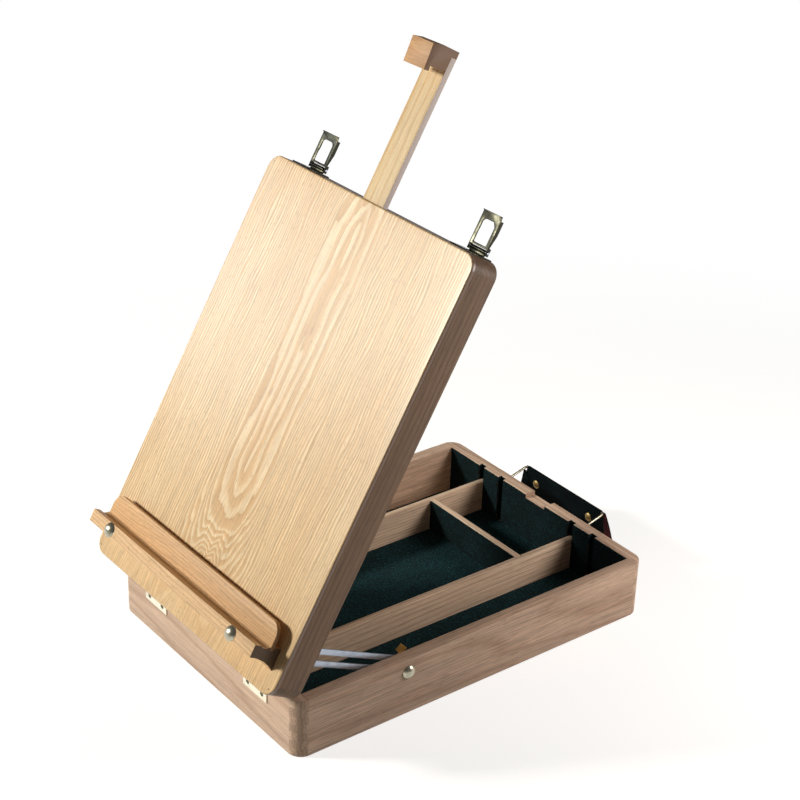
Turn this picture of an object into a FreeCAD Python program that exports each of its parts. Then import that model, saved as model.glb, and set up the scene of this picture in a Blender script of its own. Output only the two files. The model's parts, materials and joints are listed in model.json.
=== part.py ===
import FreeCAD, Part
import os
import re
import Sketcher

# Box easel: a shallow hardwood box whose lid tilts up as a drawing board.
# X runs across the box, Y from the hinged front edge to the handle side, Z up.
# The origin is the centre of the underside. Lid pieces are laid out in the closed
# position and then turned about the hinge axis to the angle at which the lid rests.

Vector = FreeCAD.Vector
doc = FreeCAD.newDocument("box_easel")
sheet = doc.addObject("Spreadsheet::Sheet", "sizes")

# Driving dimensions, in millimetres and degrees
SIZES = {
    # box
    "base_width": 300,
    "base_depth": 416,
    "base_height": 60,
    "wall": 12.5,
    "corner_radius": 14,
    "finger_count": 7,
    "bottom_thickness": 6,
    "bottom_rebate": 6,
    "floor_felt_thickness": 2.5,
    "wall_felt_thickness": 1,
    "wall_felt_below_rim": 0.6,
    "notch_width": 30,
    "notch_depth": 4.5,
    # dividers
    "divider_thickness": 7.2,
    "divider_top": 42.5,
    "groove_depth": 4.2,
    "groove_play": 0.15,
    "groove_outer": 86.5,
    "groove_inner": 55,
    "cross_from_front": 336,
    "cross_housing": 2.5,
    # lid
    "lid_angle": 60.25,
    "lid_gap": 0.25,
    "rail_height": 28,
    "lid_finger_count": 3,
    "panel_thickness": 4,
    "panel_round": 1.5,
    "brad_radius": 0.8,
    "brad_length": 12,
    "brad_inset": 7,
    # hinges
    "hinge_offset": 2,
    "hinge_inset": 65,
    "leaf_width": 37,
    "leaf_reach": 25,
    "lid_leaf_reach": 22,
    "leaf_thickness": 1.2,
    "knuckle_count": 5,
    "knuckle_gap": 0.15,
    "barrel_clearance": 0.05,
    "hinge_pin_radius": 1,
    "hinge_screw_pitch": 22.7,
    "hinge_screw_distance": 19,
    "lid_screw_distance": 14,
    # screws and running fits
    "screw_radius": 1.5,
    "screw_head_radius": 2.6,
    "screw_length": 8,
    "screw_play": 0.05,
    "running_play": 0.04,
    # carriage bolts and wing nuts
    "bolt_radius": 2.5,
    "bolt_head_radius": 7.2,
    "bolt_head_height": 4.2,
    "washer_radius": 7,
    "washer_thickness": 1,
    "nut_radius": 5.2,
    "nut_top_radius": 4.4,
    "nut_height": 7,
    "wing_span_radius": 16,
    "wing_half": 4,
    "wing_middle_height": 7.6,
    "wing_thickness": 2,
    "nut_seat_gap": 0.1,
    "bolt_past_nut": 3,
    # stays
    "stay_width": 17.3,
    "stay_thickness": 1.5,
    "stay_inset": 1,
    "stay_slot_width": 6.1,
    "stay_slot_start": 20,
    "stay_slot_end": 155,
    "stay_end": 165,
    "stay_pivot_up": 38.5,
    "stay_pivot_depth": 14,
    "stay_bolt_from_front": 122.8,
    "stay_bolt_height": 45.5,
    "stay_washer_gap": 0.3,
    "stay_wing_angle": 40,
    "rivet_radius": 2.5,
    "rivet_head_radius": 5,
    "rivet_head_height": 1.4,
    "rivet_rail_gap": 0.3,
    # ledge
    "ledge_end_inset": 13,
    "ledge_depth": 30.3,
    "ledge_shelf_up": 42.3,
    "ledge_lip_height": 12.1,
    "ledge_flat": 8.3,
    "ledge_root_height": 20.8,
    "ledge_plate_gap": 7.8,
    "ledge_plate_thickness": 4.5,
    "ledge_plate_rise": 21,
    "ledge_plate_seat": 3,
    "ledge_plate_radius": 12,
    "pencil_groove_from_panel": 18.2,
    "pencil_groove_width": 10,
    "pencil_groove_depth": 2,
    "ledge_bolt_inset": 47,
    "ledge_bolt_drop": 6.6,
    "ledge_bolt_past_nut": 4,
    # mast
    "mast_width": 29,
    "mast_thickness": 6,
    "mast_length": 383,
    "mast_top_up": 559,
    "mast_play": 0.5,
    "mast_slot_play": 1,
    "guide_width": 10,
    "guide_lip": 4.5,
    "guide_lip_thickness": 3.5,
    "guide_start": 30,
    "keeper_width": 20,
    "keeper_thickness": 4,
    "keeper_from_rail": 11.5,
    "stop_pin_radius": 2,
    "stop_pin_inset": 10,
    "stop_pin_bite": 5,
    "stop_pin_stand": 7,
    "block_tilt": 5.3,
    "block_width": 29,
    "block_depth": 32.8,
    "block_front_height": 23.8,
    "block_lip_thickness": 5.9,
    "block_lip_height": 4.5,
    "block_ridge_back": 11.8,
    "block_ridge_rise": 1.5,
    "block_above_mast": 3.8,
    "block_front_out": 26.3,
    "block_screw_half_pitch": 6,
    "block_screw_drop": 5,
    # latches
    "latch_inset": 32.5,
    "fitting_thickness": 1,
    "latch_plate_width": 38,
    "latch_plate_height": 17,
    "latch_plate_low": 1,
    "latch_screw_spread": 15,
    "latch_screw_up": 11,
    "latch_pin_out": 5,
    "latch_pin_up": 2,
    "latch_pin_radius": 1.1,
    "knuckle_radius": 1.9,
    "knuckle_width": 19,
    "hasp_width": 24,
    "hasp_length": 33,
    "hasp_start": 2.4,
    "hasp_back": 3,
    "hasp_flange_length": 29,
    "hasp_front": 2,
    "hasp_flange_depth": 4,
    "hasp_ear_end": 3.2,
    "hasp_neck_start": 4.4,
    "hasp_neck_depth": 1.6,
    "hasp_neck_end": 16,
    "hasp_window_width": 13.7,
    "hasp_window_start": 4.4,
    "hasp_window_length": 21.6,
    "hasp_lip": 1.5,
    "catch_width": 20,
    "catch_low": 30,
    "catch_height": 22,
    "catch_nose_width": 10,
    "catch_nose_low": 38,
    "catch_nose_height": 5,
    "catch_nose_out": 8,
    "catch_screw_inset": 3.5,
    # carrying handle
    "bail_half_width": 60,
    "bail_reach": 25,
    "bail_angle": 16,
    "bail_bend": 3,
    "bail_pin": 8,
    "wire_radius": 1.25,
    "bail_pivot_out": 3.5,
    "bail_pivot_height": 52.5,
    "bracket_centre": 62,
    "bracket_width": 20,
    "bracket_low": 41.5,
    "bracket_height": 17.5,
    "bracket_barrel_start": 64.2,
    "bracket_barrel_radius": 2.8,
    "bracket_screw_x": 55.5,
    "bracket_screw_inset": 4,
    "grip_top_half": 62,
    "grip_bottom_half": 68,
    "grip_height": 36,
    "grip_over": 2.6,
    "grip_inner": 2.5,
    "grip_top_thickness": 5,
    "grip_bottom_thickness": 12,
    "grip_wire_play": 0.08,
    "grip_notch_start": 56,
    "grip_notch_drop": 4.5,
    "grip_rivet_x": 41,
    "grip_rivet_drop": 12.6,
    "grip_rivet_radius": 4.7,
    "grip_rivet_height": 1.5,
    "grip_rivet_shank": 1.4,
    "grip_rivet_depth": 4,
}

for row, (alias, value) in enumerate(SIZES.items(), start=1):
    cell = "A%d" % row
    sheet.set(cell, str(value))
    sheet.setAlias(cell, alias)
doc.recompute()

NODES = []
LID_Y = ("-(base_depth / 2 + hinge_offset) * (1 - cos(lid_angle))"
         " + base_height * sin(lid_angle)")
LID_Z = ("base_height * (1 - cos(lid_angle))"
         " + (base_depth / 2 + hinge_offset) * sin(lid_angle)")

# Faces and levels that many pieces share
FRONT = "-base_depth / 2"
REAR = "base_depth / 2"
INNER_X = "(base_width / 2 - wall)"
PANEL_FACE = "(base_height + rail_height + panel_thickness)"
PANEL_BACK = "(base_height + rail_height)"
HINGE_Y = "(-base_depth / 2 - hinge_offset)"
BARREL = "(hinge_offset - barrel_clearance)"

TURNS = {
    "+x": FreeCAD.Rotation(Vector(0, 1, 0), 90),
    "-x": FreeCAD.Rotation(Vector(0, 1, 0), -90),
    "+y": FreeCAD.Rotation(Vector(1, 0, 0), -90),
    "-y": FreeCAD.Rotation(Vector(1, 0, 0), 90),
    "+z": FreeCAD.Rotation(),
    "-z": FreeCAD.Rotation(Vector(1, 0, 0), 180),
}


def real(alias):
    """Value of one cell of the sheet."""
    return float(sheet.get(alias))


def expr(text):
    """Expression text with every size name led back to the sheet."""
    return re.sub(r"[a-z_]+", lambda word: "sizes." + word.group()
                  if word.group() in SIZES else word.group(), str(text))


def bind(obj, **properties):
    for name, text in properties.items():
        obj.setExpression(name, expr(text))
    return obj


def move(obj, x="0", y="0", z="0", turn="+z"):
    """Put an object at a point, with its own Z axis along the named direction."""
    obj.Placement = FreeCAD.Placement(Vector(0, 0, 0), TURNS[turn])
    return bind(obj, **{"Placement.Base.x": x, "Placement.Base.y": y,
                        "Placement.Base.z": z})


def tilt(obj, angle):
    """Turn an object about the X axis by an angle of the sheet."""
    obj.Placement.Rotation = FreeCAD.Rotation(Vector(1, 0, 0), 1)
    return bind(obj, **{"Placement.Rotation.Angle": angle})


def box(width, depth, height, x, y, z):
    """Block with its low corner at x, y, z."""
    block = doc.addObject("Part::Box", "block")
    bind(block, Length=width, Width=depth, Height=height)
    return move(block, x, y, z)


def centred_box(width, depth, height, x, y, z):
    """Block centred across at x, with its low faces at y and z."""
    return box(width, depth, height, f"({x}) - ({width}) / 2", y, z)


def rod(radius, length, x, y, z, turn="+z"):
    bar = doc.addObject("Part::Cylinder", "rod")
    bind(bar, Radius=radius, Height=length)
    return move(bar, x, y, z, turn)


def cone(radius, end_radius, length, x, y, z, turn):
    body = doc.addObject("Part::Cone", "cone")
    bind(body, Radius1=radius, Radius2=end_radius, Height=length)
    return move(body, x, y, z, turn)


def dome(radius, height, x, y, z, turn):
    """Cap of a sphere with its flat face at x, y, z."""
    ball = f"((({radius}) ^ 2 + ({height}) ^ 2) / (2 * ({height})))"
    sink = f"({ball} - ({height}))"
    cap = doc.addObject("Part::Sphere", "cap")
    bind(cap, Radius=ball, Angle1=f"asin({sink} / {ball})")
    cap.Angle2 = 90
    axis = TURNS[turn].multVec(Vector(0, 0, 1))
    return move(cap, f"({x}) - ({axis.x:.0f}) * {sink}", f"({y}) - ({axis.y:.0f}) * {sink}",
                f"({z}) - ({axis.z:.0f}) * {sink}", turn)


def cut(base, *tools):
    for tool in tools:
        result = doc.addObject("Part::Cut", "cut")
        result.Base = base
        result.Tool = tool
        base = result
    return base


def fuse(*pieces):
    joined = doc.addObject("Part::MultiFuse", "joined")
    joined.Shapes = list(pieces)
    joined.Refine = True
    return joined


def common(first, second):
    shared = doc.addObject("Part::Common", "shared")
    shared.Base = first
    shared.Tool = second
    return shared


def group(pieces):
    """Separate solids held as one object."""
    together = doc.addObject("Part::Compound", "group")
    together.Links = list(pieces)
    return together


def rounded(piece, radius, wanted):
    """Fillet the edges of a piece that the test picks."""
    doc.recompute()
    edges = [number for number, edge in enumerate(piece.Shape.Edges, start=1)
             if wanted(edge)]
    softened = doc.addObject("Part::Fillet", "softened")
    softened.Base = piece
    softened.Edges = [(number, real(radius), real(radius)) for number in edges]
    return softened


def upright(edge):
    return abs(edge.tangentAt(edge.FirstParameter).z) > 0.99


def profile(points, width):
    """Prism along X, centred on the origin, over an outline in the YZ plane."""
    body = doc.addObject("PartDesign::Body", "profile")
    sketch = body.newObject("Sketcher::SketchObject", "outline")
    plane = [item for item in body.Origin.OriginFeatures if item.Role == "YZ_Plane"][0]
    sketch.AttachmentSupport = [(plane, "")]
    sketch.MapMode = "FlatFace"
    places = [Vector(start_value(y), start_value(z), 0) for y, z in points]
    for number, place in enumerate(places):
        after = places[(number + 1) % len(places)]
        sketch.addGeometry(Part.LineSegment(place, after), False)
    for number in range(len(points)):
        after = (number + 1) % len(points)
        sketch.addConstraint(Sketcher.Constraint("Coincident", number, 2, after, 1))
    for number, (y, z) in enumerate(points):
        for kind, text in (("DistanceX", y), ("DistanceY", z)):
            held = sketch.addConstraint(
                Sketcher.Constraint(kind, -1, 1, number, 1, start_value(text)))
            sketch.setExpression("Constraints[%d]" % held, expr(text))
    pad = body.newObject("PartDesign::Pad", "pad")
    pad.Profile = sketch
    pad.Midplane = True
    bind(pad, Length=width)
    return body


def start_value(text):
    """Number that an outline's coordinate has with the sheet's present values."""
    value = sheet.evalExpression(expr(text))
    return float(getattr(value, "Value", value))


def node(label, piece):
    """Name a sub-part of the box, which stays where it was laid out."""
    piece.Label = label
    NODES.append(piece)
    return piece


def lid_node(label, piece):
    """Name a sub-part of the lid and turn it about the hinge axis with the lid."""
    piece = tilt(group([piece]), "lid_angle")
    bind(piece, **{"Placement.Base.y": LID_Y, "Placement.Base.z": LID_Z})
    return node(label, piece)


def screw(x, y, z, turn, plate, play="0"):
    """Countersunk screw, or with play the hole for it, with its head flush at x, y, z."""
    axis = TURNS[turn].multVec(Vector(0, 0, 1))
    head = cone(f"screw_head_radius + {play}", f"screw_radius + {play}", plate, x, y, z, turn)
    shank = rod(f"screw_radius + {play}", f"screw_length + {play}",
                f"({x}) + ({axis.x:.0f}) * {plate}", f"({y}) + ({axis.y:.0f}) * {plate}",
                f"({z}) + ({axis.z:.0f}) * {plate}", turn)
    return fuse(head, shank)


def screw_set(places, turn, plate):
    """Screws at some places and the holes that they need."""
    screws = group([screw(x, y, z, turn, plate) for x, y, z in places])
    holes = group([screw(x, y, z, turn, plate, "screw_play") for x, y, z in places])
    return screws, holes


# Corner joints: bands of equal height that belong by turns to one wall or the other


def corner_bands(count, height, bottom, first):
    """Blocks that fill every second band at the four corners."""
    bands = []
    for band in range(first, count, 2):
        for x in ("-base_width / 2", INNER_X):
            for y in (FRONT, f"{REAR} - wall"):
                bands.append(box("wall", "wall", f"({height}) / {count}", x, y,
                                 f"{bottom} + {band} * ({height}) / {count}"))
    return group(bands)


def frame_walls(count, height, bottom):
    """Front, rear, left and right walls of a frame with finger-jointed corners."""
    outer = rounded(box("base_width", "base_depth", height, "-base_width / 2", FRONT, bottom),
                    "corner_radius", upright)
    side_fingers = corner_bands(count, height, bottom, 1)
    end_fingers = corner_bands(count, height, bottom, 0)
    walls = []
    for y in (FRONT, f"{REAR} - wall"):
        strip = box("base_width", "wall", height, "-base_width / 2", y, bottom)
        walls.append(cut(common(outer, strip), side_fingers))
    for x in ("-base_width / 2", INNER_X):
        strip = box("wall", "base_depth", height, x, FRONT, bottom)
        walls.append(cut(common(outer, strip), end_fingers))
    return walls


# Fasteners and their holes, shared by the pieces that they hold

hinge_x = [f"{side} * (base_width / 2 - hinge_inset)" for side in (-1, 1)]
hinge_screw_x = [f"{x} + ({end}) * hinge_screw_pitch / 2" for x in hinge_x for end in (-1, 1)]
leaf_face = f"{FRONT} - leaf_thickness"
base_hinge_screws, base_hinge_holes = screw_set(
    [(x, leaf_face, "base_height - hinge_screw_distance") for x in hinge_screw_x],
    "+y", "leaf_thickness")
lid_hinge_screws, lid_hinge_holes = screw_set(
    [(x, leaf_face, "base_height + lid_screw_distance") for x in hinge_screw_x],
    "+y", "leaf_thickness")

latch_x = [f"{side} * (base_width / 2 - latch_inset)" for side in (-1, 1)]
fitting_face = f"{REAR} + fitting_thickness"
latch_screws, latch_holes = screw_set(
    [(f"{x} + ({end}) * latch_screw_spread", fitting_face, "base_height + latch_screw_up")
     for x in latch_x for end in (-1, 1)], "-y", "fitting_thickness")
catch_levels = ("catch_low + catch_screw_inset",
                "catch_low + catch_height - catch_screw_inset")
catch_screws, catch_holes = screw_set(
    [(x, fitting_face, z) for x in latch_x for z in catch_levels], "-y", "fitting_thickness")
bracket_levels = ("bracket_low + bracket_screw_inset",
                  "bracket_low + bracket_height - 2 * bracket_screw_inset")
bracket_screws, bracket_holes = screw_set(
    [(f"{side} * bracket_screw_x", fitting_face, z) for side in (-1, 1)
     for z in bracket_levels], "-y", "fitting_thickness")

# Box walls, with grooves for the dividers, a finger notch and a rebate for the bottom

front_wall, rear_wall, left_wall, right_wall = frame_walls(
    int(real("finger_count")), "base_height", "0")
bottom_panel = box(f"2 * ({INNER_X} + bottom_rebate)",
                   "base_depth - 2 * (wall - bottom_rebate)", "bottom_thickness",
                   f"-({INNER_X} + bottom_rebate)", f"{FRONT} + wall - bottom_rebate", "0")
groove_x = [f"{side} * {place}" for place in ("groove_outer", "groove_inner")
            for side in (-1, 1)]
GROOVE_WIDTH = "(divider_thickness + 2 * groove_play)"
GROOVE_RUN = "(base_depth - 2 * (wall - groove_depth))"
grooves = group([centred_box(GROOVE_WIDTH, GROOVE_RUN, "base_height", x,
                             f"-{GROOVE_RUN} / 2", "0") for x in groove_x])
notch = centred_box("notch_width", "wall", "notch_depth", "0", f"{REAR} - wall",
                    "base_height - notch_depth")
bolt_y = f"({FRONT} + stay_bolt_from_front)"
clamp_holes = group([rod("bolt_radius + screw_play", "wall", x, bolt_y, "stay_bolt_height", "+x")
                     for x in ("-base_width / 2", INNER_X)])

node("base_front_wall", cut(front_wall, grooves, bottom_panel, base_hinge_holes))
node("base_rear_wall", cut(rear_wall, grooves, bottom_panel, notch, catch_holes,
                           bracket_holes))
node("base_left_wall", cut(left_wall, bottom_panel, clamp_holes))
node("base_right_wall", cut(right_wall, bottom_panel, clamp_holes))
node("base_bottom_panel", bottom_panel)

# Felt on the floor and on the two end walls, slit at the grooves

FLOOR = "(bottom_thickness + floor_felt_thickness)"
INNER_Y = "(base_depth / 2 - wall)"
node("floor_felt", box(f"2 * {INNER_X}", f"2 * {INNER_Y}", "floor_felt_thickness",
                       f"-{INNER_X}", f"-{INNER_Y}", "bottom_thickness"))


def wall_felt(y):
    sheet_of_felt = box(f"2 * {INNER_X}", "wall_felt_thickness",
                        f"base_height - wall_felt_below_rim - {FLOOR}", f"-{INNER_X}", y,
                        FLOOR)
    return cut(sheet_of_felt, grooves)


node("front_wall_felt", wall_felt(f"-{INNER_Y}"))
felt_notch = centred_box("notch_width", "wall", "notch_depth", "0",
                         f"{INNER_Y} - wall_felt_thickness", "base_height - notch_depth")
node("rear_wall_felt", cut(wall_felt(f"{INNER_Y} - wall_felt_thickness"), felt_notch))

# Dividers: two long boards in the grooves and a short one housed between them

CROSS_Y = f"({FRONT} + cross_from_front - divider_thickness / 2)"
CROSS_SPAN = "(groove_outer + groove_inner - divider_thickness)"
CROSS_LEFT = "(-groove_outer + divider_thickness / 2 - cross_housing)"
CROSS_RUN = f"({CROSS_SPAN} + 2 * cross_housing - 2 * groove_play)"
DIVIDER_HEIGHT = f"(divider_top - {FLOOR})"
DIVIDER_RUN = f"({GROOVE_RUN} - 2 * groove_play)"
housings = box(f"{CROSS_SPAN} + 2 * cross_housing",
               "divider_thickness + 2 * groove_play", DIVIDER_HEIGHT,
               CROSS_LEFT, f"{CROSS_Y} - groove_play", FLOOR)
for side_name, middle in (("left", "-groove_outer"), ("right", "groove_inner")):
    board = centred_box("divider_thickness", DIVIDER_RUN, DIVIDER_HEIGHT, middle,
                        f"-{DIVIDER_RUN} / 2", FLOOR)
    node("divider_" + side_name, cut(board, housings))
node("divider_cross", box(CROSS_RUN, "divider_thickness", DIVIDER_HEIGHT,
                          f"{CROSS_LEFT} + groove_play", CROSS_Y, FLOOR))
node("cross_divider_felt",
     box(CROSS_SPAN, "wall_felt_thickness",
         DIVIDER_HEIGHT, "-groove_outer + divider_thickness / 2",
         f"{CROSS_Y} - groove_play - wall_felt_thickness", FLOOR))

# Lid frame, panel and the brads at its corners

RAIL_BOTTOM = "(base_height + lid_gap)"
lid_front, lid_top, lid_left, lid_right = frame_walls(
    int(real("lid_finger_count")), "rail_height - lid_gap", RAIL_BOTTOM)
brad_places = [(f"{side} * (base_width / 2 - brad_inset)",
                f"{end} * (base_depth / 2 - brad_inset)")
               for side in (-1, 1) for end in (-1, 1)]
brads = group([rod("brad_radius", "brad_length", x, y, f"{PANEL_FACE} - brad_length")
               for x, y in brad_places])
brad_holes = group([rod("brad_radius + screw_play", "brad_length + screw_play", x, y,
                        f"{PANEL_FACE} - brad_length - screw_play") for x, y in brad_places])

MAST_BACK = "(base_height + rail_height - mast_play - mast_thickness)"
MAST_TOP = f"({FRONT} + mast_top_up)"
mast_slot = centred_box("mast_width + 2 * mast_slot_play", "wall",
                        "mast_thickness + 2 * mast_play", "0", f"{REAR} - wall",
                        f"{MAST_BACK} - mast_play")
lid_node("lid_front_rail", cut(lid_front, brad_holes, lid_hinge_holes))
lid_node("lid_top_rail", cut(lid_top, brad_holes, mast_slot, latch_holes))
lid_node("lid_left_rail", cut(lid_left, brad_holes))
lid_node("lid_right_rail", cut(lid_right, brad_holes))


def panel_top_edge(edge):
    return edge.BoundBox.ZMin > start_value(PANEL_FACE) - 0.01


ledge_bolt_x = [f"{side} * (base_width / 2 - ledge_bolt_inset)" for side in (-1, 1)]
LEDGE_BOLT_Y = f"({FRONT} + ledge_shelf_up - ledge_bolt_drop)"
ledge_bolt_holes = group([rod("bolt_radius + screw_play", "panel_thickness + ledge_depth",
                              x, LEDGE_BOLT_Y, PANEL_BACK) for x in ledge_bolt_x])
panel_block = rounded(box("base_width", "base_depth", "panel_thickness", "-base_width / 2",
                          FRONT, PANEL_BACK), "corner_radius", upright)
panel = rounded(panel_block, "panel_round", panel_top_edge)
lid_node("lid_panel", cut(panel, brad_holes, ledge_bolt_holes))
lid_node("panel_brads", brads)

# Butt hinges: leaves with interleaved knuckles on a common pin


def knuckles(x, first, radius, spare="0"):
    """Every second knuckle of one hinge, or with spare the room that it needs."""
    count = int(real("knuckle_count"))
    pitch = f"(leaf_width / {count})"
    return [rod(radius, f"{pitch} - knuckle_gap + 2 * ({spare})",
                f"{x} - leaf_width / 2 + {number} * {pitch} + knuckle_gap / 2 - ({spare})",
                HINGE_Y, "base_height", "+x") for number in range(first, count, 2)]


def leaf(x, first, low, height, holes):
    plate = centred_box("leaf_width", "leaf_thickness", height, x, leaf_face, low)
    room = group(knuckles(x, 1 - first, "hinge_offset", "knuckle_gap"))
    bore = rod("hinge_pin_radius + running_play", "leaf_width", f"{x} - leaf_width / 2",
               HINGE_Y, "base_height", "+x")
    return cut(fuse(cut(plate, room), *knuckles(x, first, BARREL)), bore, holes)


node("base_hinge_leaves", group([leaf(x, 0, "base_height - leaf_reach", "leaf_reach",
                                      base_hinge_holes) for x in hinge_x]))
node("base_hinge_screws", base_hinge_screws)
node("hinge_pins", group([rod("hinge_pin_radius", "leaf_width", f"{x} - leaf_width / 2",
                              HINGE_Y, "base_height", "+x") for x in hinge_x]))
lid_node("lid_hinge_leaves", group([leaf(x, 1, "base_height", "lid_leaf_reach",
                                         lid_hinge_holes) for x in hinge_x]))
lid_node("lid_hinge_screws", lid_hinge_screws)

# Wing nut: a tapered hub on the Z axis with two upright wings along Y


def wing_nut():
    hub = cone("nut_radius", "nut_top_radius", "nut_height", "0", "0", "0", "+z")
    pieces = [hub]
    for side in (-1, 1):
        pieces.append(centred_box("wing_thickness", "2 * wing_half", "2 * wing_half", "0",
                                  f"{side} * (wing_span_radius - wing_half) - wing_half",
                                  "wing_middle_height - wing_half"))
    web = centred_box("wing_thickness", "2 * (wing_span_radius - wing_half)",
                      "nut_height - wing_thickness", "0",
                      "-(wing_span_radius - wing_half)", "wing_thickness")
    pieces.append(web)
    bore = rod("bolt_radius + running_play", "3 * nut_height", "0", "0", "-nut_height")
    return cut(fuse(*pieces), bore)


def washer(x, y, z, turn):
    disc = rod("washer_radius", "washer_thickness", x, y, z, turn)
    return cut(disc, rod("bolt_radius + running_play", "washer_thickness", x, y, z, turn))


def carriage_bolt(length, x, y, z, turn):
    """Domed bolt whose head sits at x, y, z and whose shank runs the other way."""
    back = {"+x": "-x", "-x": "+x", "+z": "-z"}[turn]
    return fuse(dome("bolt_head_radius", "bolt_head_height", x, y, z, turn),
                rod("bolt_radius", length, x, y, z, back))


# Stays: slotted straps that turn on a rivet at the lid and are clamped to the box

PIVOT_Y = (f"({HINGE_Y} + (stay_pivot_up + hinge_offset) * cos(lid_angle)"
           " - stay_pivot_depth * sin(lid_angle))")
PIVOT_Z = ("(base_height + (stay_pivot_up + hinge_offset) * sin(lid_angle)"
           " + stay_pivot_depth * cos(lid_angle))")
STAY_ANGLE = f"atan2(stay_bolt_height - {PIVOT_Z}; {bolt_y} - {PIVOT_Y})"


def strap():
    half = "stay_width / 2"
    slot_half = "stay_slot_width / 2"
    blade = fuse(box("stay_thickness", f"stay_end - {half}", "stay_width", "0", "0",
                     f"-{half}"),
                 rod(half, "stay_thickness", "0", "0", "0", "+x"),
                 rod(half, "stay_thickness", "0", f"stay_end - {half}", "0", "+x"))
    slot_run = "stay_slot_end - stay_slot_start - stay_slot_width"
    slot = fuse(box("stay_thickness", slot_run, "stay_slot_width", "0",
                    f"stay_slot_start + {slot_half}", f"-{slot_half}"),
                rod(slot_half, "stay_thickness", "0", f"stay_slot_start + {slot_half}", "0",
                    "+x"),
                rod(slot_half, "stay_thickness", "0", f"stay_slot_end - {slot_half}", "0",
                    "+x"))
    hole = rod("rivet_radius + screw_play", "stay_thickness", "0", "0", "0", "+x")
    return cut(blade, slot, hole)


def stay_rivet(side):
    """Rivet in the strap's eye: flange towards the rail, low dome towards the middle."""
    if side > 0:
        flange_x, inner, outer = "stay_thickness", "-x", "+x"
    else:
        flange_x, inner, outer = "-(stay_inset - rivet_rail_gap)", "+x", "-x"
    inner_x = "0" if side > 0 else "stay_thickness"
    far_x = "stay_thickness" if side > 0 else "0"
    return fuse(rod("rivet_head_radius", "stay_inset - rivet_rail_gap", flange_x, "0", "0",
                    "+x"),
                rod("rivet_radius", "stay_thickness", far_x, "0", "0", inner),
                dome("rivet_head_radius", "rivet_head_height", inner_x, "0", "0", inner))


for side, side_name in ((-1, "left"), (1, "right")):
    if side > 0:
        strap_x = f"{INNER_X} - stay_inset - stay_thickness"
        washer_x = f"{strap_x} - stay_washer_gap"
        inward = "-x"
    else:
        strap_x = f"-{INNER_X} + stay_inset"
        washer_x = f"{strap_x} + stay_thickness + stay_washer_gap"
        inward = "+x"
    for label, piece in (("stay_" + side_name, strap()),
                         ("stay_rivet_" + side_name, stay_rivet(side))):
        move(piece, strap_x, PIVOT_Y, PIVOT_Z)
        node(label, tilt(piece, STAY_ANGLE))
    node("stay_washer_" + side_name, washer(washer_x, bolt_y, "stay_bolt_height", inward))
    nut = wing_nut()
    nut.Placement.Rotation = FreeCAD.Rotation(
        Vector(0, 0, 1), -side * real("stay_wing_angle"))
    turned = group([nut])
    move(turned, f"{washer_x} - ({side}) * (washer_thickness + nut_seat_gap)", bolt_y,
         "stay_bolt_height", inward)
    node("stay_wing_nut_" + side_name, turned)

CLAMP_LENGTH = ("wall + stay_inset + stay_thickness + stay_washer_gap + washer_thickness"
                " + nut_seat_gap + nut_height + bolt_past_nut")
node("clamp_bolts", group([
    carriage_bolt(CLAMP_LENGTH, f"{side} * base_width / 2", bolt_y, "stay_bolt_height", turn)
    for side, turn in ((-1, "-x"), (1, "+x"))]))

# Ledge: a coved bar across the lid with a thin back plate, bolted through the panel

SHELF_Y = f"({FRONT} + ledge_shelf_up)"
LEDGE_LENGTH = "(base_width - 2 * ledge_end_inset)"
bar = profile([("0", "0"), ("0", "ledge_depth"), ("-ledge_lip_height", "ledge_depth"),
               ("-ledge_lip_height", "ledge_depth - ledge_flat"),
               ("-ledge_root_height", "0")], LEDGE_LENGTH)
move(bar, "0", SHELF_Y, PANEL_FACE)
PLATE_Y = f"({SHELF_Y} - ledge_plate_seat)"
plate_blank = centred_box(LEDGE_LENGTH, "ledge_plate_seat + ledge_plate_rise",
                          "ledge_plate_thickness", "0", PLATE_Y,
                          f"{PANEL_FACE} + ledge_plate_gap")


def plate_corner(edge):
    return upright(edge) and edge.BoundBox.YMin > start_value(SHELF_Y)


groove_ball = ("(((pencil_groove_width / 2) ^ 2 + pencil_groove_depth ^ 2)"
               " / (2 * pencil_groove_depth))")
pencil_groove = rod(groove_ball, LEDGE_LENGTH, f"-{LEDGE_LENGTH} / 2",
                    f"{SHELF_Y} + {groove_ball} - pencil_groove_depth",
                    f"{PANEL_FACE} + pencil_groove_from_panel", "+x")
lid_node("ledge_bar", cut(bar, plate_blank, pencil_groove, ledge_bolt_holes))
lid_node("ledge_back_plate", rounded(plate_blank, "ledge_plate_radius", plate_corner))
ledge_bolt_length = ("ledge_depth + panel_thickness + washer_thickness + nut_seat_gap"
                     " + nut_height + ledge_bolt_past_nut")
lid_node("ledge_bolts", group([
    carriage_bolt(ledge_bolt_length, x, LEDGE_BOLT_Y, f"{PANEL_FACE} + ledge_depth", "+z")
    for x in ledge_bolt_x]))
lid_node("ledge_washers", group([washer(x, LEDGE_BOLT_Y, PANEL_BACK, "-z")
                                 for x in ledge_bolt_x]))
for x, side_name in zip(ledge_bolt_x, ("left", "right")):
    nut = wing_nut()
    move(nut, x, LEDGE_BOLT_Y, f"{PANEL_BACK} - washer_thickness - nut_seat_gap", "-z")
    lid_node("ledge_wing_nut_" + side_name, nut)

# Mast: a flat bar that slides under the panel between rebated guides

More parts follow.
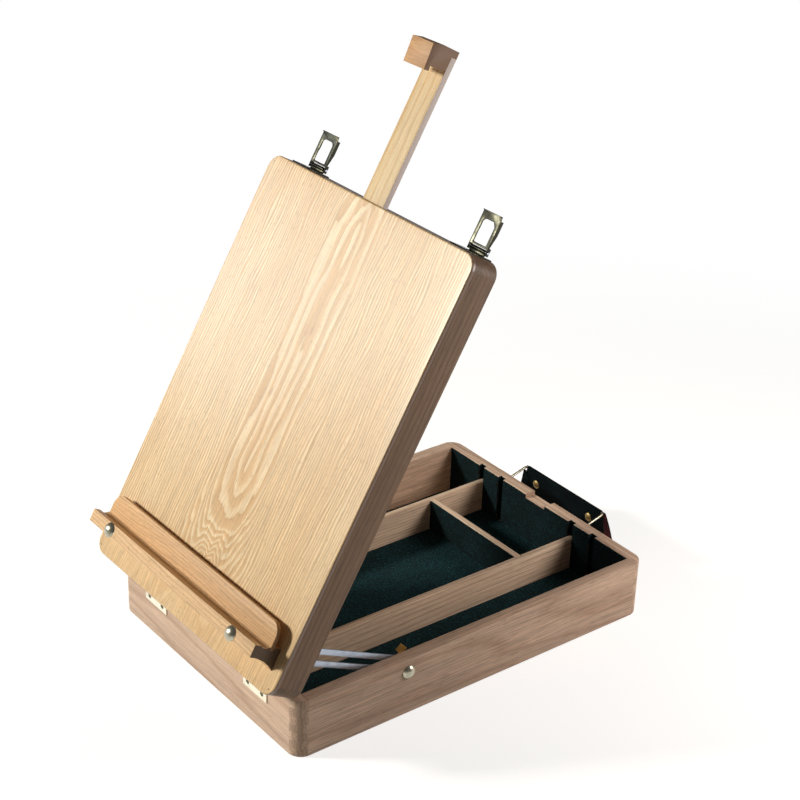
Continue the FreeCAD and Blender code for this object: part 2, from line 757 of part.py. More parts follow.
MAST_FOOT = f"({MAST_TOP} - mast_length)"
PIN_Y = f"({MAST_FOOT} + stop_pin_inset)"
mast_blank = centred_box("mast_width", "mast_length", "mast_thickness", "0", MAST_FOOT,
                         MAST_BACK)
pin_hole = rod("stop_pin_radius + screw_play", "stop_pin_bite + screw_play", "0", PIN_Y,
               MAST_BACK)
GUIDE_BACK = f"({MAST_BACK} - mast_play - guide_lip_thickness)"
GUIDE_Y = f"({FRONT} + guide_start)"
GUIDE_RUN = "(base_depth - wall - guide_start)"
for side, side_name in ((-1, "left"), (1, "right")):
    edge_x = f"{side} * (mast_width / 2 + mast_play + guide_width / 2)"
    lip_x = f"{side} * (mast_width / 2 + mast_play + guide_width / 2 - guide_lip / 2)"
    strip = centred_box("guide_width", GUIDE_RUN, f"{PANEL_BACK} - {GUIDE_BACK}", edge_x,
                        GUIDE_Y, GUIDE_BACK)
    lip = centred_box("guide_width + guide_lip", GUIDE_RUN, "guide_lip_thickness", lip_x,
                      GUIDE_Y, GUIDE_BACK)
    lid_node("mast_guide_" + side_name, fuse(strip, lip))
lid_node("mast_keeper", centred_box(
    "mast_width + 2 * (mast_play + guide_width)", "keeper_width", "keeper_thickness", "0",
    f"{REAR} - wall - keeper_from_rail - keeper_width", f"{GUIDE_BACK} - keeper_thickness"))
lid_node("mast_stop_pin", rod("stop_pin_radius", "stop_pin_stand + stop_pin_bite", "0",
                              PIN_Y, f"{MAST_BACK} - stop_pin_stand"))

# Hooked block at the head of the mast, tipped a little towards the panel

block = profile([("0", "0"), ("-block_front_height", "0"),
                 ("-block_front_height", "-block_lip_thickness"),
                 ("-block_front_height + block_lip_height", "-block_lip_thickness"),
                 ("-block_front_height + block_lip_height", "-block_depth"),
                 ("0", "-block_depth"), ("block_ridge_rise", "-block_ridge_back")],
                "block_width")
move(block, "0", f"{MAST_TOP} + block_above_mast", f"{MAST_BACK} + mast_thickness"
     " + block_front_out")
tilt(block, "block_tilt")
block_screws, block_holes = screw_set(
    [(f"{side} * block_screw_half_pitch", f"{MAST_TOP} - block_screw_drop", MAST_BACK)
     for side in (-1, 1)], "+z", "leaf_thickness")
lid_node("mast", cut(mast_blank, pin_hole, block_holes))
behind_mast = centred_box("2 * block_width", "2 * block_depth", "block_depth", "0",
                          f"{MAST_TOP} - block_depth", f"{MAST_BACK} - block_depth")
lid_node("mast_block", cut(block, behind_mast, mast_blank, block_holes))
lid_node("mast_block_screws", block_screws)

# Latches: a screwed plate with a knuckle, a pin and a stamped hasp frame

PIN_OUT = f"({REAR} + latch_pin_out)"
PIN_UP = "(base_height + latch_pin_up)"


def latch_plate(x):
    plate = centred_box("latch_plate_width", "fitting_thickness", "latch_plate_height", x,
                        REAR, "base_height + latch_plate_low")
    web = centred_box("knuckle_width", "latch_pin_out", "2 * (latch_pin_up - latch_plate_low)",
                      x, REAR, "base_height + latch_plate_low")
    barrel = rod("knuckle_radius", "knuckle_width", f"{x} - knuckle_width / 2", PIN_OUT,
                 PIN_UP, "+x")
    bore = rod("latch_pin_radius + running_play", "knuckle_width", f"{x} - knuckle_width / 2",
               PIN_OUT, PIN_UP, "+x")
    return cut(fuse(plate, web, barrel), bore, latch_holes)


def hasp(x):
    front_z = f"({PIN_UP} + hasp_front)"
    back_z = f"({front_z} - fitting_thickness)"
    plate = centred_box("hasp_width", "hasp_length - hasp_start", "fitting_thickness", x,
                        f"{PIN_OUT} + hasp_start", back_z)
    window = centred_box("hasp_window_width", "hasp_window_length", "fitting_thickness", x,
                         f"{PIN_OUT} + hasp_window_start", back_z)
    lip = centred_box("hasp_width", "fitting_thickness", "fitting_thickness + hasp_lip", x,
                      f"{PIN_OUT} + hasp_length - fitting_thickness", back_z)
    flanges = [box("fitting_thickness", "hasp_back + hasp_flange_length", "hasp_flange_depth",
                   flange_x, f"{PIN_OUT} - hasp_back", f"{front_z} - hasp_flange_depth")
               for flange_x in (f"{x} - hasp_width / 2",
                                f"{x} + hasp_width / 2 - fitting_thickness")]
    bore = rod("latch_pin_radius + running_play", "hasp_width", f"{x} - hasp_width / 2",
               PIN_OUT, PIN_UP, "+x")
    neck = profile([("hasp_ear_end", "-2 * hasp_flange_depth"),
                    ("hasp_neck_start", "-hasp_neck_depth"),
                    ("hasp_neck_end", "-hasp_flange_depth"),
                    ("hasp_neck_end", "-2 * hasp_flange_depth")], "2 * hasp_width")
    move(neck, x, PIN_OUT, front_z)
    return cut(fuse(cut(plate, window), lip, *flanges), bore, neck)


lid_node("latch_plates", group([latch_plate(x) for x in latch_x]))
lid_node("latch_screws", latch_screws)
lid_node("latch_pins", group([
    rod("latch_pin_radius", "hasp_width + 2 * fitting_thickness",
        f"{x} - hasp_width / 2 - fitting_thickness", PIN_OUT, PIN_UP, "+x")
    for x in latch_x]))
for x, side_name in zip(latch_x, ("left", "right")):
    lid_node("hasp_" + side_name, hasp(x))


def catch(x):
    plate = centred_box("catch_width", "fitting_thickness", "catch_height", x, REAR,
                        "catch_low")
    nose = centred_box("catch_nose_width", "catch_nose_out", "catch_nose_height", x, REAR,
                       "catch_nose_low")
    return cut(fuse(plate, nose), catch_holes)


node("latch_catches", group([catch(x) for x in latch_x]))
node("catch_screws", catch_screws)

# Carrying handle: a wire bail in two brackets, with a folded grip hanging from it

PIVOT_OUT = f"({REAR} + bail_pivot_out)"


def bail_wire():
    """Bail in the XY plane, with its pivot axis along X and its crossbar at bail_reach."""
    straight = "(bail_half_width - bail_bend)"
    pieces = [rod("wire_radius", f"2 * {straight}", f"-{straight}", "bail_reach", "0", "+x")]
    corners = [("+", straight, "bail_reach - bail_bend", 0),
               ("-", f"-{straight}", "bail_reach - bail_bend", 90),
               ("+", "bail_half_width + bail_bend", "bail_bend", 180),
               ("-", "-(bail_half_width + bail_bend)", "bail_bend", 270)]
    for sign, x, y, turn in corners:
        bend = doc.addObject("Part::Torus", "bend")
        bend.Angle3 = 90
        bind(bend, Radius1="bail_bend", Radius2="wire_radius")
        move(bend, x, y, "0")
        bend.Placement.Rotation = FreeCAD.Rotation(Vector(0, 0, 1), turn)
        pieces.append(bend)
    for side in (-1, 1):
        pieces.append(rod("wire_radius", "bail_reach - 2 * bail_bend",
                          f"{side} * bail_half_width", "bail_bend", "0", "+y"))
        pieces.append(rod("wire_radius", "bail_pin",
                          f"{side} * (bail_half_width + bail_bend)", "0", "0",
                          "+x" if side > 0 else "-x"))
    return fuse(*pieces)


bail = bail_wire()
move(bail, "0", PIVOT_OUT, "bail_pivot_height")
node("handle_bail", tilt(bail, "bail_angle"))


def bracket(side):
    plate = centred_box("bracket_width", "fitting_thickness", "bracket_height",
                        f"{side} * bracket_centre", REAR, "bracket_low")
    barrel_run = "(bail_half_width + bail_bend + bail_pin - bracket_barrel_start)"
    barrel_x = ("bracket_barrel_start" if side > 0
                else f"-bracket_barrel_start - {barrel_run}")
    barrel = rod("bracket_barrel_radius", barrel_run, barrel_x, PIVOT_OUT,
                 "bail_pivot_height", "+x")
    web = box(barrel_run, "bail_pivot_out", "2 * bracket_barrel_radius", barrel_x, REAR,
              "bail_pivot_height - bracket_barrel_radius")
    bore = rod("wire_radius + running_play", barrel_run, barrel_x, PIVOT_OUT,
               "bail_pivot_height", "+x")
    return cut(fuse(plate, web, barrel), bore, bracket_holes)


node("handle_brackets", group([bracket(side) for side in (-1, 1)]))
node("bracket_screws", bracket_screws)

GRIP_Y = f"({PIVOT_OUT} + bail_reach * cos(bail_angle))"
GRIP_Z = "(bail_pivot_height + bail_reach * sin(bail_angle))"
wedge = doc.addObject("Part::Wedge", "wedge")
bind(wedge, Ymin="0", Ymax="grip_height", Xmin="-grip_top_half", Xmax="grip_top_half",
     X2min="-grip_bottom_half", X2max="grip_bottom_half", Zmin="-grip_inner",
     Zmax="grip_top_thickness - grip_inner", Z2min="-grip_inner",
     Z2max="grip_bottom_thickness - grip_inner")
move(wedge, "0", GRIP_Y, f"{GRIP_Z} + grip_over", "+y")
wire_hole = rod("wire_radius + grip_wire_play", "2 * grip_bottom_half", "-grip_bottom_half",
                GRIP_Y, GRIP_Z, "+x")
notch_run = "(grip_bottom_half - grip_notch_start)"
notches = group([box(notch_run, "2 * grip_bottom_thickness", "grip_over + grip_notch_drop",
                     x, f"{GRIP_Y} - grip_bottom_thickness", f"{GRIP_Z} - grip_notch_drop")
                 for x in ("grip_notch_start", f"-grip_notch_start - {notch_run}")])
RIVET_Y = f"({GRIP_Y} - grip_inner)"
RIVET_Z = f"({GRIP_Z} - grip_rivet_drop)"
rivet_x = [f"{side} * grip_rivet_x" for side in (-1, 1)]
rivet_holes = group([rod("grip_rivet_shank + screw_play", "grip_rivet_depth + screw_play", x,
                         RIVET_Y, RIVET_Z, "+y") for x in rivet_x])
node("handle_grip", cut(wedge, wire_hole, notches, rivet_holes))
node("grip_rivets", group([
    fuse(dome("grip_rivet_radius", "grip_rivet_height", x, RIVET_Y, RIVET_Z, "-y"),
         rod("grip_rivet_shank", "grip_rivet_depth", x, RIVET_Y, RIVET_Z, "+y"))
    for x in rivet_x]))

# Check every object, then write each sub-part

doc.recompute()
for item in doc.Objects:
    if "Invalid" in item.State or "Error" in item.State:
        raise RuntimeError("object failed: %s (%s)" % (item.Name, item.Label))
for piece in NODES:
    if piece.Shape.isNull() or not piece.Shape.isValid() or not piece.Shape.Solids:
        raise RuntimeError("bad shape: " + piece.Label)
os.makedirs("parts", exist_ok=True)
for piece in NODES:
    piece.Shape.exportStep("parts/%s.step" % piece.Label)
print(len(NODES), "sub-parts,", sum(len(piece.Shape.Solids) for piece in NODES), "solids")
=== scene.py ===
import json
import math

import bmesh
import bpy
from mathutils import Matrix, Quaternion, Vector

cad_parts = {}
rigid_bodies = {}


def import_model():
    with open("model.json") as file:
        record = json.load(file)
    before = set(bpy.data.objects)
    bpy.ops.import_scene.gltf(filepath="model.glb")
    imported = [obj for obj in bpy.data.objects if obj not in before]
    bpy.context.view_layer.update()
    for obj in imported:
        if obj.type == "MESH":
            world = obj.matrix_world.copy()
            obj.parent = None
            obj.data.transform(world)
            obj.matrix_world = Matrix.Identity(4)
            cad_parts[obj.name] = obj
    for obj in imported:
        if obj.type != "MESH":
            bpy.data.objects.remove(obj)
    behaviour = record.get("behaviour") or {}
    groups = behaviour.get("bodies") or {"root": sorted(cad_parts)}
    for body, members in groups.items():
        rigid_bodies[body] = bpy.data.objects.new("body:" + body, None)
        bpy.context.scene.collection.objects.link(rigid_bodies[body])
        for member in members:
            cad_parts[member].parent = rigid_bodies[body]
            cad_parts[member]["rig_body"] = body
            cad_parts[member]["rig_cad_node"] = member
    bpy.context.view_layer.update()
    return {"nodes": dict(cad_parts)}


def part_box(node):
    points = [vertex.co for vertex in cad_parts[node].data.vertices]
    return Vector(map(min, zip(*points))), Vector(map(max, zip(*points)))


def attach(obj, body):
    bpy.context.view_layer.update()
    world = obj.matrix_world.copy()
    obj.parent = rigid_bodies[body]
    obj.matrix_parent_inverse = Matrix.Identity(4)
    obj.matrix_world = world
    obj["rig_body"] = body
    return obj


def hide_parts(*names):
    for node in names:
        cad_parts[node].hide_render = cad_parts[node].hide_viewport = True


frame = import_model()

cad = frame["nodes"]
bpy.ops.object.select_all(action="DESELECT")


# Studio: a pale floor under a white surround, one broad soft lamp from the painter's
# left and front, and the camera where the photographer stood, a little above the lid.

def linear(code):
    """Linear colour of an sRGB hex code."""
    parts = [int(code[i:i + 2], 16) / 255 for i in (1, 3, 5)]
    return tuple(c / 12.92 if c <= 0.04045 else ((c + 0.055) / 1.055) ** 2.4
                 for c in parts) + (1.0,)


def add(tree, kind, settings=None, links=None):
    """Add a shader node, with its settings and with a value or a link for each input."""
    made = tree.nodes.new("ShaderNode" + kind)
    for name, value in (settings or {}).items():
        if name == "stops":
            while len(made.color_ramp.elements) < len(value):
                made.color_ramp.elements.new(0.5)
            for element, (place, code) in zip(made.color_ramp.elements, value):
                element.position = place
                element.color = linear(code)
        else:
            setattr(made, name, value)
    for name, value in (links or {}).items():
        if isinstance(value, bpy.types.NodeSocket):
            tree.links.new(value, made.inputs[name])
        else:
            made.inputs[name].default_value = value
    return made


def seen_directly(tree, mirrored=1.0):
    """1 for the rays by which the camera or a glass sees a thing, and a share of it for
    those by which a polished surface mirrors it."""
    path = add(tree, "LightPath")
    mirror = add(tree, "Math", {"operation": "MULTIPLY"},
                 {0: path.outputs["Is Glossy Ray"], 1: mirrored})
    either = add(tree, "Math", {"operation": "MAXIMUM"},
                 {0: path.outputs["Is Camera Ray"], 1: mirror.outputs[0]})
    return add(tree, "Math", {"operation": "MAXIMUM"},
               {0: either.outputs[0], 1: path.outputs["Is Transmission Ray"]}).outputs[0]


scene = bpy.context.scene
scene.view_settings.view_transform = "Standard"

AMBIENT = 0.062
world = bpy.data.worlds.new("white_surround")
world.use_nodes = True
scene.world = world
tree = world.node_tree
surround = add(tree, "MapRange", None, {"Value": seen_directly(tree, 0.06),
                                        "To Min": AMBIENT, "To Max": 1.0})
tree.links.new(surround.outputs["Result"], tree.nodes["Background"].inputs["Strength"])
tree.nodes["Background"].inputs["Color"].default_value = linear("#FFFFFF")

bpy.ops.mesh.primitive_plane_add(size=14.0, location=(0.0, 0.0, -0.0003))
floor = bpy.context.object
floor.name = "studio_floor"
floor_paper = bpy.data.materials.new("white_paper_matt")
floor_paper.use_nodes = True
tree = floor_paper.node_tree
tree.nodes.remove(tree.nodes["Principled BSDF"])
paper = add(tree, "BsdfDiffuse", None, {"Color": linear("#BDBBB7")})
lift = add(tree, "Emission", None, {"Color": linear("#FFFFFF"), "Strength": 0.72})
near = add(tree, "AddShader", None, {0: paper.outputs[0], 1: lift.outputs[0]})
white = add(tree, "Emission", None, {"Color": linear("#FFFFFF"), "Strength": 1.0})
spot = add(tree, "TexCoord")
reach = add(tree, "VectorMath", {"operation": "DISTANCE"},
            {0: spot.outputs["Object"], 1: (0.1, 0.15, 0.0)})
fade = add(tree, "MapRange", {"interpolation_type": "SMOOTHSTEP"},
           {"Value": reach.outputs["Value"], "From Min": 0.32, "From Max": 1.0})
shown = add(tree, "MixShader", None, {0: fade.outputs["Result"], 1: near.outputs[0],
                                      2: white.outputs[0]})
both = add(tree, "MixShader", None, {0: seen_directly(tree), 1: paper.outputs[0],
                                     2: shown.outputs[0]})
tree.links.new(both.outputs[0], tree.nodes["Material Output"].inputs["Surface"])
floor.data.materials.append(floor_paper)

def soft_light(name, place, aim, size, watts, code):
    """Square soft light that shines from its place towards a point."""
    data = bpy.data.lights.new(name, "AREA")
    data.size = size
    data.energy = watts
    data.color = linear(code)[:3]
    light = bpy.data.objects.new(name, data)
    scene.collection.objects.link(light)
    light.location = place
    light.visible_camera = False
    light.rotation_mode = "QUATERNION"
    light.rotation_quaternion = (Vector(place) - Vector(aim)).to_track_quat("Z", "Y")


soft_light("soft_box", (-1.632, -2.431, 1.610), (0.0, -0.05, 0.25), 0.45, 94.0, "#FFFDF4")
soft_light("lacquer_sheen_card", (-1.85, -1.32, 0.78), (0.0, -0.10, 0.25), 0.5, 7.5,
           "#EFF6FF")
soft_light("side_reflector", (0.52, 0.50, 0.42), (0.0, 0.05, 0.06), 0.3, 3.0, "#FFF6F0")

AZIMUTH = math.radians(51.652)
ELEVATION = math.radians(27.309)
ROLL = math.radians(2.0265)
back = Vector((math.sin(AZIMUTH) * math.cos(ELEVATION),
               -math.cos(AZIMUTH) * math.cos(ELEVATION), math.sin(ELEVATION)))
camera_data = bpy.data.cameras.new("camera")
camera_data.sensor_width = 36.0
camera_data.lens = 85.825
camera_data.clip_start = 0.05
camera_data.clip_end = 60.0
camera = bpy.data.objects.new("camera", camera_data)
scene.collection.objects.link(camera)
camera.location = (1.25243, -0.97879, 1.05422)
camera.rotation_mode = "QUATERNION"
camera.rotation_quaternion = (back.to_track_quat("Z", "Y")
                              @ Quaternion((0.0, 0.0, 1.0), ROLL))
scene.camera = camera


# Box walls: four planed hardwood boards, finger-jointed and glued at the corners, the
# corners then rounded over and the faces wiped with thin oil. The ends of the boards
# show in every second finger, where the oil sinks in and looks darker.

def only(piece):
    """Make one object the selected and active one."""
    bpy.ops.object.select_all(action="DESELECT")
    piece.select_set(True)
    bpy.context.view_layer.objects.active = piece


def copy_of(name):
    """Copy of a CAD node, with its loose triangles merged into whole faces."""
    only(cad[name])
    bpy.ops.object.duplicate()
    piece = bpy.context.object
    piece.name = name + "_finished"
    del piece["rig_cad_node"]
    piece.data.materials.clear()
    bpy.ops.object.mode_set(mode="EDIT")
    bpy.ops.mesh.select_all(action="SELECT")
    bpy.ops.mesh.remove_doubles(threshold=0.000004)
    bpy.ops.mesh.dissolve_limited(angle_limit=math.radians(0.6))
    bpy.ops.mesh.customdata_custom_splitnormals_clear()
    bpy.ops.object.mode_set(mode="OBJECT")
    return piece


def dress(piece, name, material, smooth=32):
    """Give a finished copy its material, and let it stand for its CAD node."""
    only(piece)
    bpy.ops.object.shade_smooth_by_angle(angle=math.radians(smooth))
    piece.data.materials.append(material)
    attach(piece, cad[name]["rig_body"])
    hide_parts(name)
    return piece


def bevelled(piece, radius, wanted, segments=2):
    """Bevel the edges of a piece that the test picks."""
    only(piece)
    bpy.ops.object.mode_set(mode="EDIT")
    bpy.ops.mesh.select_mode(type="EDGE")
    bpy.ops.mesh.select_all(action="DESELECT")
    mesh = bmesh.from_edit_mesh(piece.data)
    for edge in mesh.edges:
        edge.select = len(edge.link_faces) == 2 and wanted(edge)
    mesh.select_flush_mode()
    bmesh.update_edit_mesh(piece.data)
    bpy.ops.mesh.bevel(offset=radius, segments=segments, affect="EDGES",
                       clamp_overlap=True)
    bpy.ops.object.mode_set(mode="OBJECT")
    return piece


def middle(edge):
    return (edge.verts[0].co + edge.verts[1].co) / 2


def eased(name, radius, material, wanted=None, segments=2, sharp=30):
    """Copy of a CAD node with its sharp edges taken off, as a sanding block leaves them."""
    piece = bevelled(copy_of(name), radius,
                     lambda edge: (edge.calc_face_angle() > math.radians(sharp)
                                   and (wanted is None or wanted(middle(edge)))), segments)
    return dress(piece, name, material)


def wood(name, early, late, end, tilt=0.0, turn=0.0, shift=(0.0, 0.0, 0.0),
         heart=(0.03, 0.0, -0.05), lean=(0.0, 0.0, 0.0), ring=0.0030, gloss=0.50,
         contrast=1.0, wander=0.016, ends=0.62, fibre_length=0.03, painted_side_tint=None):
    """Sawn and oiled hardwood whose fibres run along the board's own Y axis."""
    made = bpy.data.materials.new(name)
    made.use_nodes = True
    tree = made.node_tree
    place = add(tree, "TexCoord")
    board = add(tree, "Mapping", None, {"Vector": place.outputs["Object"],
                                        "Rotation": (-tilt, 0.0, turn), "Location": shift})
    # fibres wander a few millimetres over a hand's breadth
    drift = add(tree, "Mapping", None, {"Vector": board.outputs[0],
                                        "Scale": (1 / 0.035, 1 / 0.22, 1 / 0.035)})
    drift_noise = add(tree, "TexNoise", None, {"Vector": drift.outputs[0], "Scale": 1.0,
                                               "Detail": 3.0})
    bent = add(tree, "VectorMath", {"operation": "MULTIPLY_ADD"},
               {0: drift_noise.outputs["Color"], 1: (wander, 0.0, wander),
                2: board.outputs[0]})
    # growth rings about the heart of the tree, which lies outside the board
    trunk = add(tree, "Mapping", None, {"Vector": bent.outputs[0], "Rotation": lean,
                                        "Location": heart})
    rings = add(tree, "TexWave", {"wave_type": "RINGS", "rings_direction": "Y",
                                  "wave_profile": "SAW"},
                {"Vector": trunk.outputs[0], "Scale": 2 * math.pi / (20 * ring)})
    tone = add(tree, "ValToRGB", {"stops": [(0.0, late), (0.22, early), (0.72, early),
                                            (1.0, late)]}, {"Fac": rings.outputs["Fac"]})
    # fibres 0.9 mm wide, drawn coarser than real ones so that they show
    fibre = add(tree, "Mapping", None, {"Vector": bent.outputs[0],
                                        "Scale": (1 / 0.0009, 1 / fibre_length,
                                                  1 / 0.0009)})
    fibre_noise = add(tree, "TexNoise", None, {"Vector": fibre.outputs[0], "Scale": 1.0,
                                               "Detail": 2.0, "Roughness": 0.6})
    streak = add(tree, "MapRange", None, {"Value": fibre_noise.outputs["Fac"],
                                          "From Min": 0.3, "From Max": 0.7,
                                          "To Min": 1.0 - 0.20 * contrast,
                                          "To Max": 1.0 + 0.14 * contrast})
    streaked = add(tree, "VectorMath", {"operation": "SCALE"},
                   {0: tone.outputs["Color"], "Scale": streak.outputs["Result"]})
    # open pores: dark dashes, much shorter than the fibres
    pore = add(tree, "Mapping", None, {"Vector": bent.outputs[0],
                                       "Scale": (1 / 0.0007, 6 / fibre_length,
                                                 1 / 0.0007)})
    pore_noise = add(tree, "TexNoise", None, {"Vector": pore.outputs[0], "Scale": 1.0,
                                              "Detail": 1.0})
    pores = add(tree, "MapRange", None, {"Value": pore_noise.outputs["Fac"],
                                         "From Min": 0.60, "From Max": 0.72,
                                         "To Max": 0.36 * contrast})
    pored = add(tree, "Mix", {"data_type": "RGBA"},
                {"Factor": pores.outputs["Result"], 6: streaked.outputs["Vector"],
                 7: linear(end)})
    # broad lighter and darker patches
    patch_noise = add(tree, "TexNoise", None, {"Vector": drift.outputs[0], "Scale": 0.7,
                                               "Detail": 1.0})
    patch = add(tree, "MapRange", None, {"Value": patch_noise.outputs["Fac"],
                                         "From Min": 0.3, "From Max": 0.7,
                                         "To Min": 0.92, "To Max": 1.06})
    patched = add(tree, "VectorMath", {"operation": "SCALE"},
                  {0: pored.outputs[2], "Scale": patch.outputs["Result"]})
    # end grain, where the surface cuts across the fibres
    facing = add(tree, "Mapping", {"vector_type": "VECTOR"},
                 {"Vector": place.outputs["Normal"], "Rotation": (-tilt, 0.0, turn)})
    split = add(tree, "SeparateXYZ", None, {"Vector": facing.outputs[0]})
    across = add(tree, "Math", {"operation": "ABSOLUTE"}, {0: split.outputs["Y"]})
    ends = add(tree, "MapRange", None, {"Value": across.outputs[0], "From Min": 0.45,
                                        "From Max": 0.95, "To Max": ends})
    colour = add(tree, "Mix", {"data_type": "RGBA"},
                 {"Factor": ends.outputs["Result"], 6: patched.outputs["Vector"],
                  7: linear(end)})
    finished = colour.outputs[2]
    # painted shade tint: faces across the board's X axis take their own paler, cooler
    # colour, for the cool light on those sides
    if painted_side_tint:
        aside = add(tree, "Math", {"operation": "ABSOLUTE"}, {0: split.outputs["X"]})
        painted_side_tint_share = add(tree, "MapRange", None, {"Value": aside.outputs[0], "From Min": 0.45,
                                              "From Max": 0.95, "To Max": 0.85})
        finished = add(tree, "Mix", {"data_type": "RGBA"},
                       {"Factor": painted_side_tint_share.outputs["Result"], 6: finished,
                        7: linear(painted_side_tint)}).outputs[2]
    relief = add(tree, "Math", {"operation": "SUBTRACT"},
                 {0: fibre_noise.outputs["Fac"], 1: pores.outputs["Result"]})
    bump = add(tree, "Bump", None, {"Strength": 0.35, "Distance": 0.00025,
                                    "Height": relief.outputs[0]})
    shine = add(tree, "MapRange", None, {"Value": fibre_noise.outputs["Fac"],
                                         "To Min": gloss - 0.06, "To Max": gloss + 0.10})
    surface = tree.nodes["Principled BSDF"]
    surface.inputs["Specular IOR Level"].default_value = 0.35
    for socket, source in (("Base Color", finished),
                           ("Roughness", shine.outputs["Result"]),
                           ("Normal", bump.outputs[0])):
        tree.links.new(source, surface.inputs[socket])
    return made


WALL = 0.0125
HALF_WIDTH = 0.150
HALF_DEPTH = 0.208
QUARTER = math.pi / 2
WALL_WOOD = ("#DEBFA6", "#C7A58C", "#8E6F5B")


def end_wall_rim(point):
    """True on the rims of a front or rear wall, but not where a side wall butts on it."""
    rim = point.z > 0.0599 or point.z < 0.0001
    joint = abs(abs(point.y) - (HALF_DEPTH - WALL)) < 0.0001 and abs(point.x) > 0.137
    return rim and not joint


def side_wall_rim(point):
    return ((point.z > 0.0599 or point.z < 0.0001)
            and abs(point.y) < HALF_DEPTH - WALL - 0.0001)


def in_groove(point):
    """True inside the grooves of a front or rear wall."""
    return HALF_DEPTH - WALL + 0.0001 < abs(point.y) < HALF_DEPTH - WALL + 0.0043 and (
        min(abs(abs(point.x) - 0.0865), abs(abs(point.x) - 0.0550)) < 0.0039)


for name, shift, heart, lean in (
        ("base_front_wall", (0.03, 0.0, 0.02), (0.012, 0.0, -0.075), (0.0, 0.0, 0.012)),
        ("base_rear_wall", (0.21, 0.4, 0.07), (0.02, 0.0, -0.06), (0.0, 0.0, -0.01))):
    eased(name, 0.0007, wood("oiled_hardwood_" + name, *WALL_WOOD, turn=QUARTER,
                             shift=shift, heart=heart, lean=lean, wander=0.007,
                             ring=0.0030, contrast=1.1, ends=0.3, fibre_length=0.06),
          end_wall_rim)
for name, shift, heart, lean in (
        ("base_left_wall", (0.4, 0.1, 0.3), (0.06, 0.0, 0.02), (0.02, 0.0, 0.02)),
        ("base_right_wall", (0.7, 0.5, 0.1), (0.02, 0.0, -0.19), (0.012, 0.0, 0.01))):
    eased(name, 0.0007, wood("oiled_hardwood_" + name, *WALL_WOOD, shift=shift,
                             heart=heart, lean=lean, wander=0.005, ring=0.0022,
                             contrast=1.8, ends=0.3, fibre_length=0.10),
          side_wall_rim)


# Bottom: a sheet of birch plywood let into a rebate round the foot of the walls. It is
# rotary-cut, so its face has a broad, faint figure.

eased("base_bottom_panel", 0.0004,
      wood("birch_plywood_sanded", "#DDBF98", "#CDAA80", "#A88660",
           heart=(0.0, 0.0, 0.012), lean=(0.0, 0.012, 0.0), ring=0.0011, gloss=0.6,
           contrast=0.5))


# Felt: dark green craft felt, cut with a knife and glued to the floor, to the two end
# walls and to the front of the cross divider. Its fibres stand up; the light they catch
# is painted into its colour as small pale specks, painted glints.

felt = bpy.data.materials.new("craft_felt_pressed_wool")
felt.use_nodes = True
tree = felt.node_tree
place = add(tree, "TexCoord")
speck = add(tree, "TexNoise", None, {"Vector": place.outputs["Object"], "Scale": 620.0,
                                     "Detail": 3.0, "Roughness": 0.7})
clump = add(tree, "TexNoise", None, {"Vector": place.outputs["Object"], "Scale": 70.0,
                                     "Detail": 2.0})
# pale specks in this ramp are painted glints of fibres catching the light
fibres = add(tree, "ValToRGB", {"stops": [(0.30, "#020D10"), (0.50, "#061F24"),
                                          (0.62, "#143E44"), (0.76, "#3B6C72")]},
             {"Fac": speck.outputs["Fac"]})
shade = add(tree, "MapRange", None, {"Value": clump.outputs["Fac"], "From Min": 0.3,
                                     "From Max": 0.7, "To Min": 0.75, "To Max": 1.15})
# painted shade: on the walls, whose faces stand far from level, the felt's colour is
# darkened
upright = add(tree, "SeparateXYZ", None, {"Vector": place.outputs["Normal"]})
level = add(tree, "Math", {"operation": "ABSOLUTE"}, {0: upright.outputs["Z"]})
painted_wall_shade = add(tree, "MapRange", None, {"Value": level.outputs[0], "To Min": 0.40,
                                    "To Max": 1.15})
clumps_and_painted_wall_shade = add(tree, "Math", {"operation": "MULTIPLY"}, {0: shade.outputs["Result"],
                                                    1: painted_wall_shade.outputs["Result"]})
felt_colour = add(tree, "VectorMath", {"operation": "SCALE"},
                  {0: fibres.outputs["Color"], "Scale": clumps_and_painted_wall_shade.outputs[0]})
nap = add(tree, "Bump", None, {"Strength": 0.8, "Distance": 0.0006,
                               "Height": speck.outputs["Fac"]})
surface = tree.nodes["Principled BSDF"]
surface.inputs["Roughness"].default_value = 0.95
surface.inputs["Specular IOR Level"].default_value = 0.15
surface.inputs["Sheen Weight"].default_value = 0.10
surface.inputs["Sheen Roughness"].default_value = 0.6
surface.inputs["Sheen Tint"].default_value = linear("#6F8F90")
tree.links.new(felt_colour.outputs["Vector"], surface.inputs["Base Color"])
tree.links.new(nap.outputs[0], surface.inputs["Normal"])

felt_fluff = bpy.data.textures.new("felt_fluff", "CLOUDS")
felt_fluff.noise_scale = 0.006


def felt_piece(name, step):
    """Sheet of felt over its CAD node: cut up finely, then roughened by its own fluff."""
    piece = copy_of(name)
    low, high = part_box(name)
    bpy.ops.object.mode_set(mode="EDIT")
    for axis in range(3):
        size = high[axis] - low[axis]
        for cut_number in range(1, max(1, round(size / step))):
            bpy.ops.mesh.select_all(action="SELECT")
            at = low.copy()
            at[axis] += size * cut_number / max(1, round(size / step))
            normal = Vector((0.0, 0.0, 0.0))
            normal[axis] = 1.0
            bpy.ops.mesh.bisect(plane_co=at, plane_no=normal)
    bpy.ops.object.mode_set(mode="OBJECT")
    fluff = piece.modifiers.new("fluff", "DISPLACE")
    fluff.texture = felt_fluff
    fluff.texture_coords = "LOCAL"
    fluff.strength = 0.0004
    fluff.mid_level = 0.9
    bpy.ops.object.modifier_apply(modifier="fluff")
    dress(piece, name, felt)


felt_piece("floor_felt", 0.005)
felt_piece("front_wall_felt", 0.005)
felt_piece("rear_wall_felt", 0.005)
felt_piece("cross_divider_felt", 0.005)

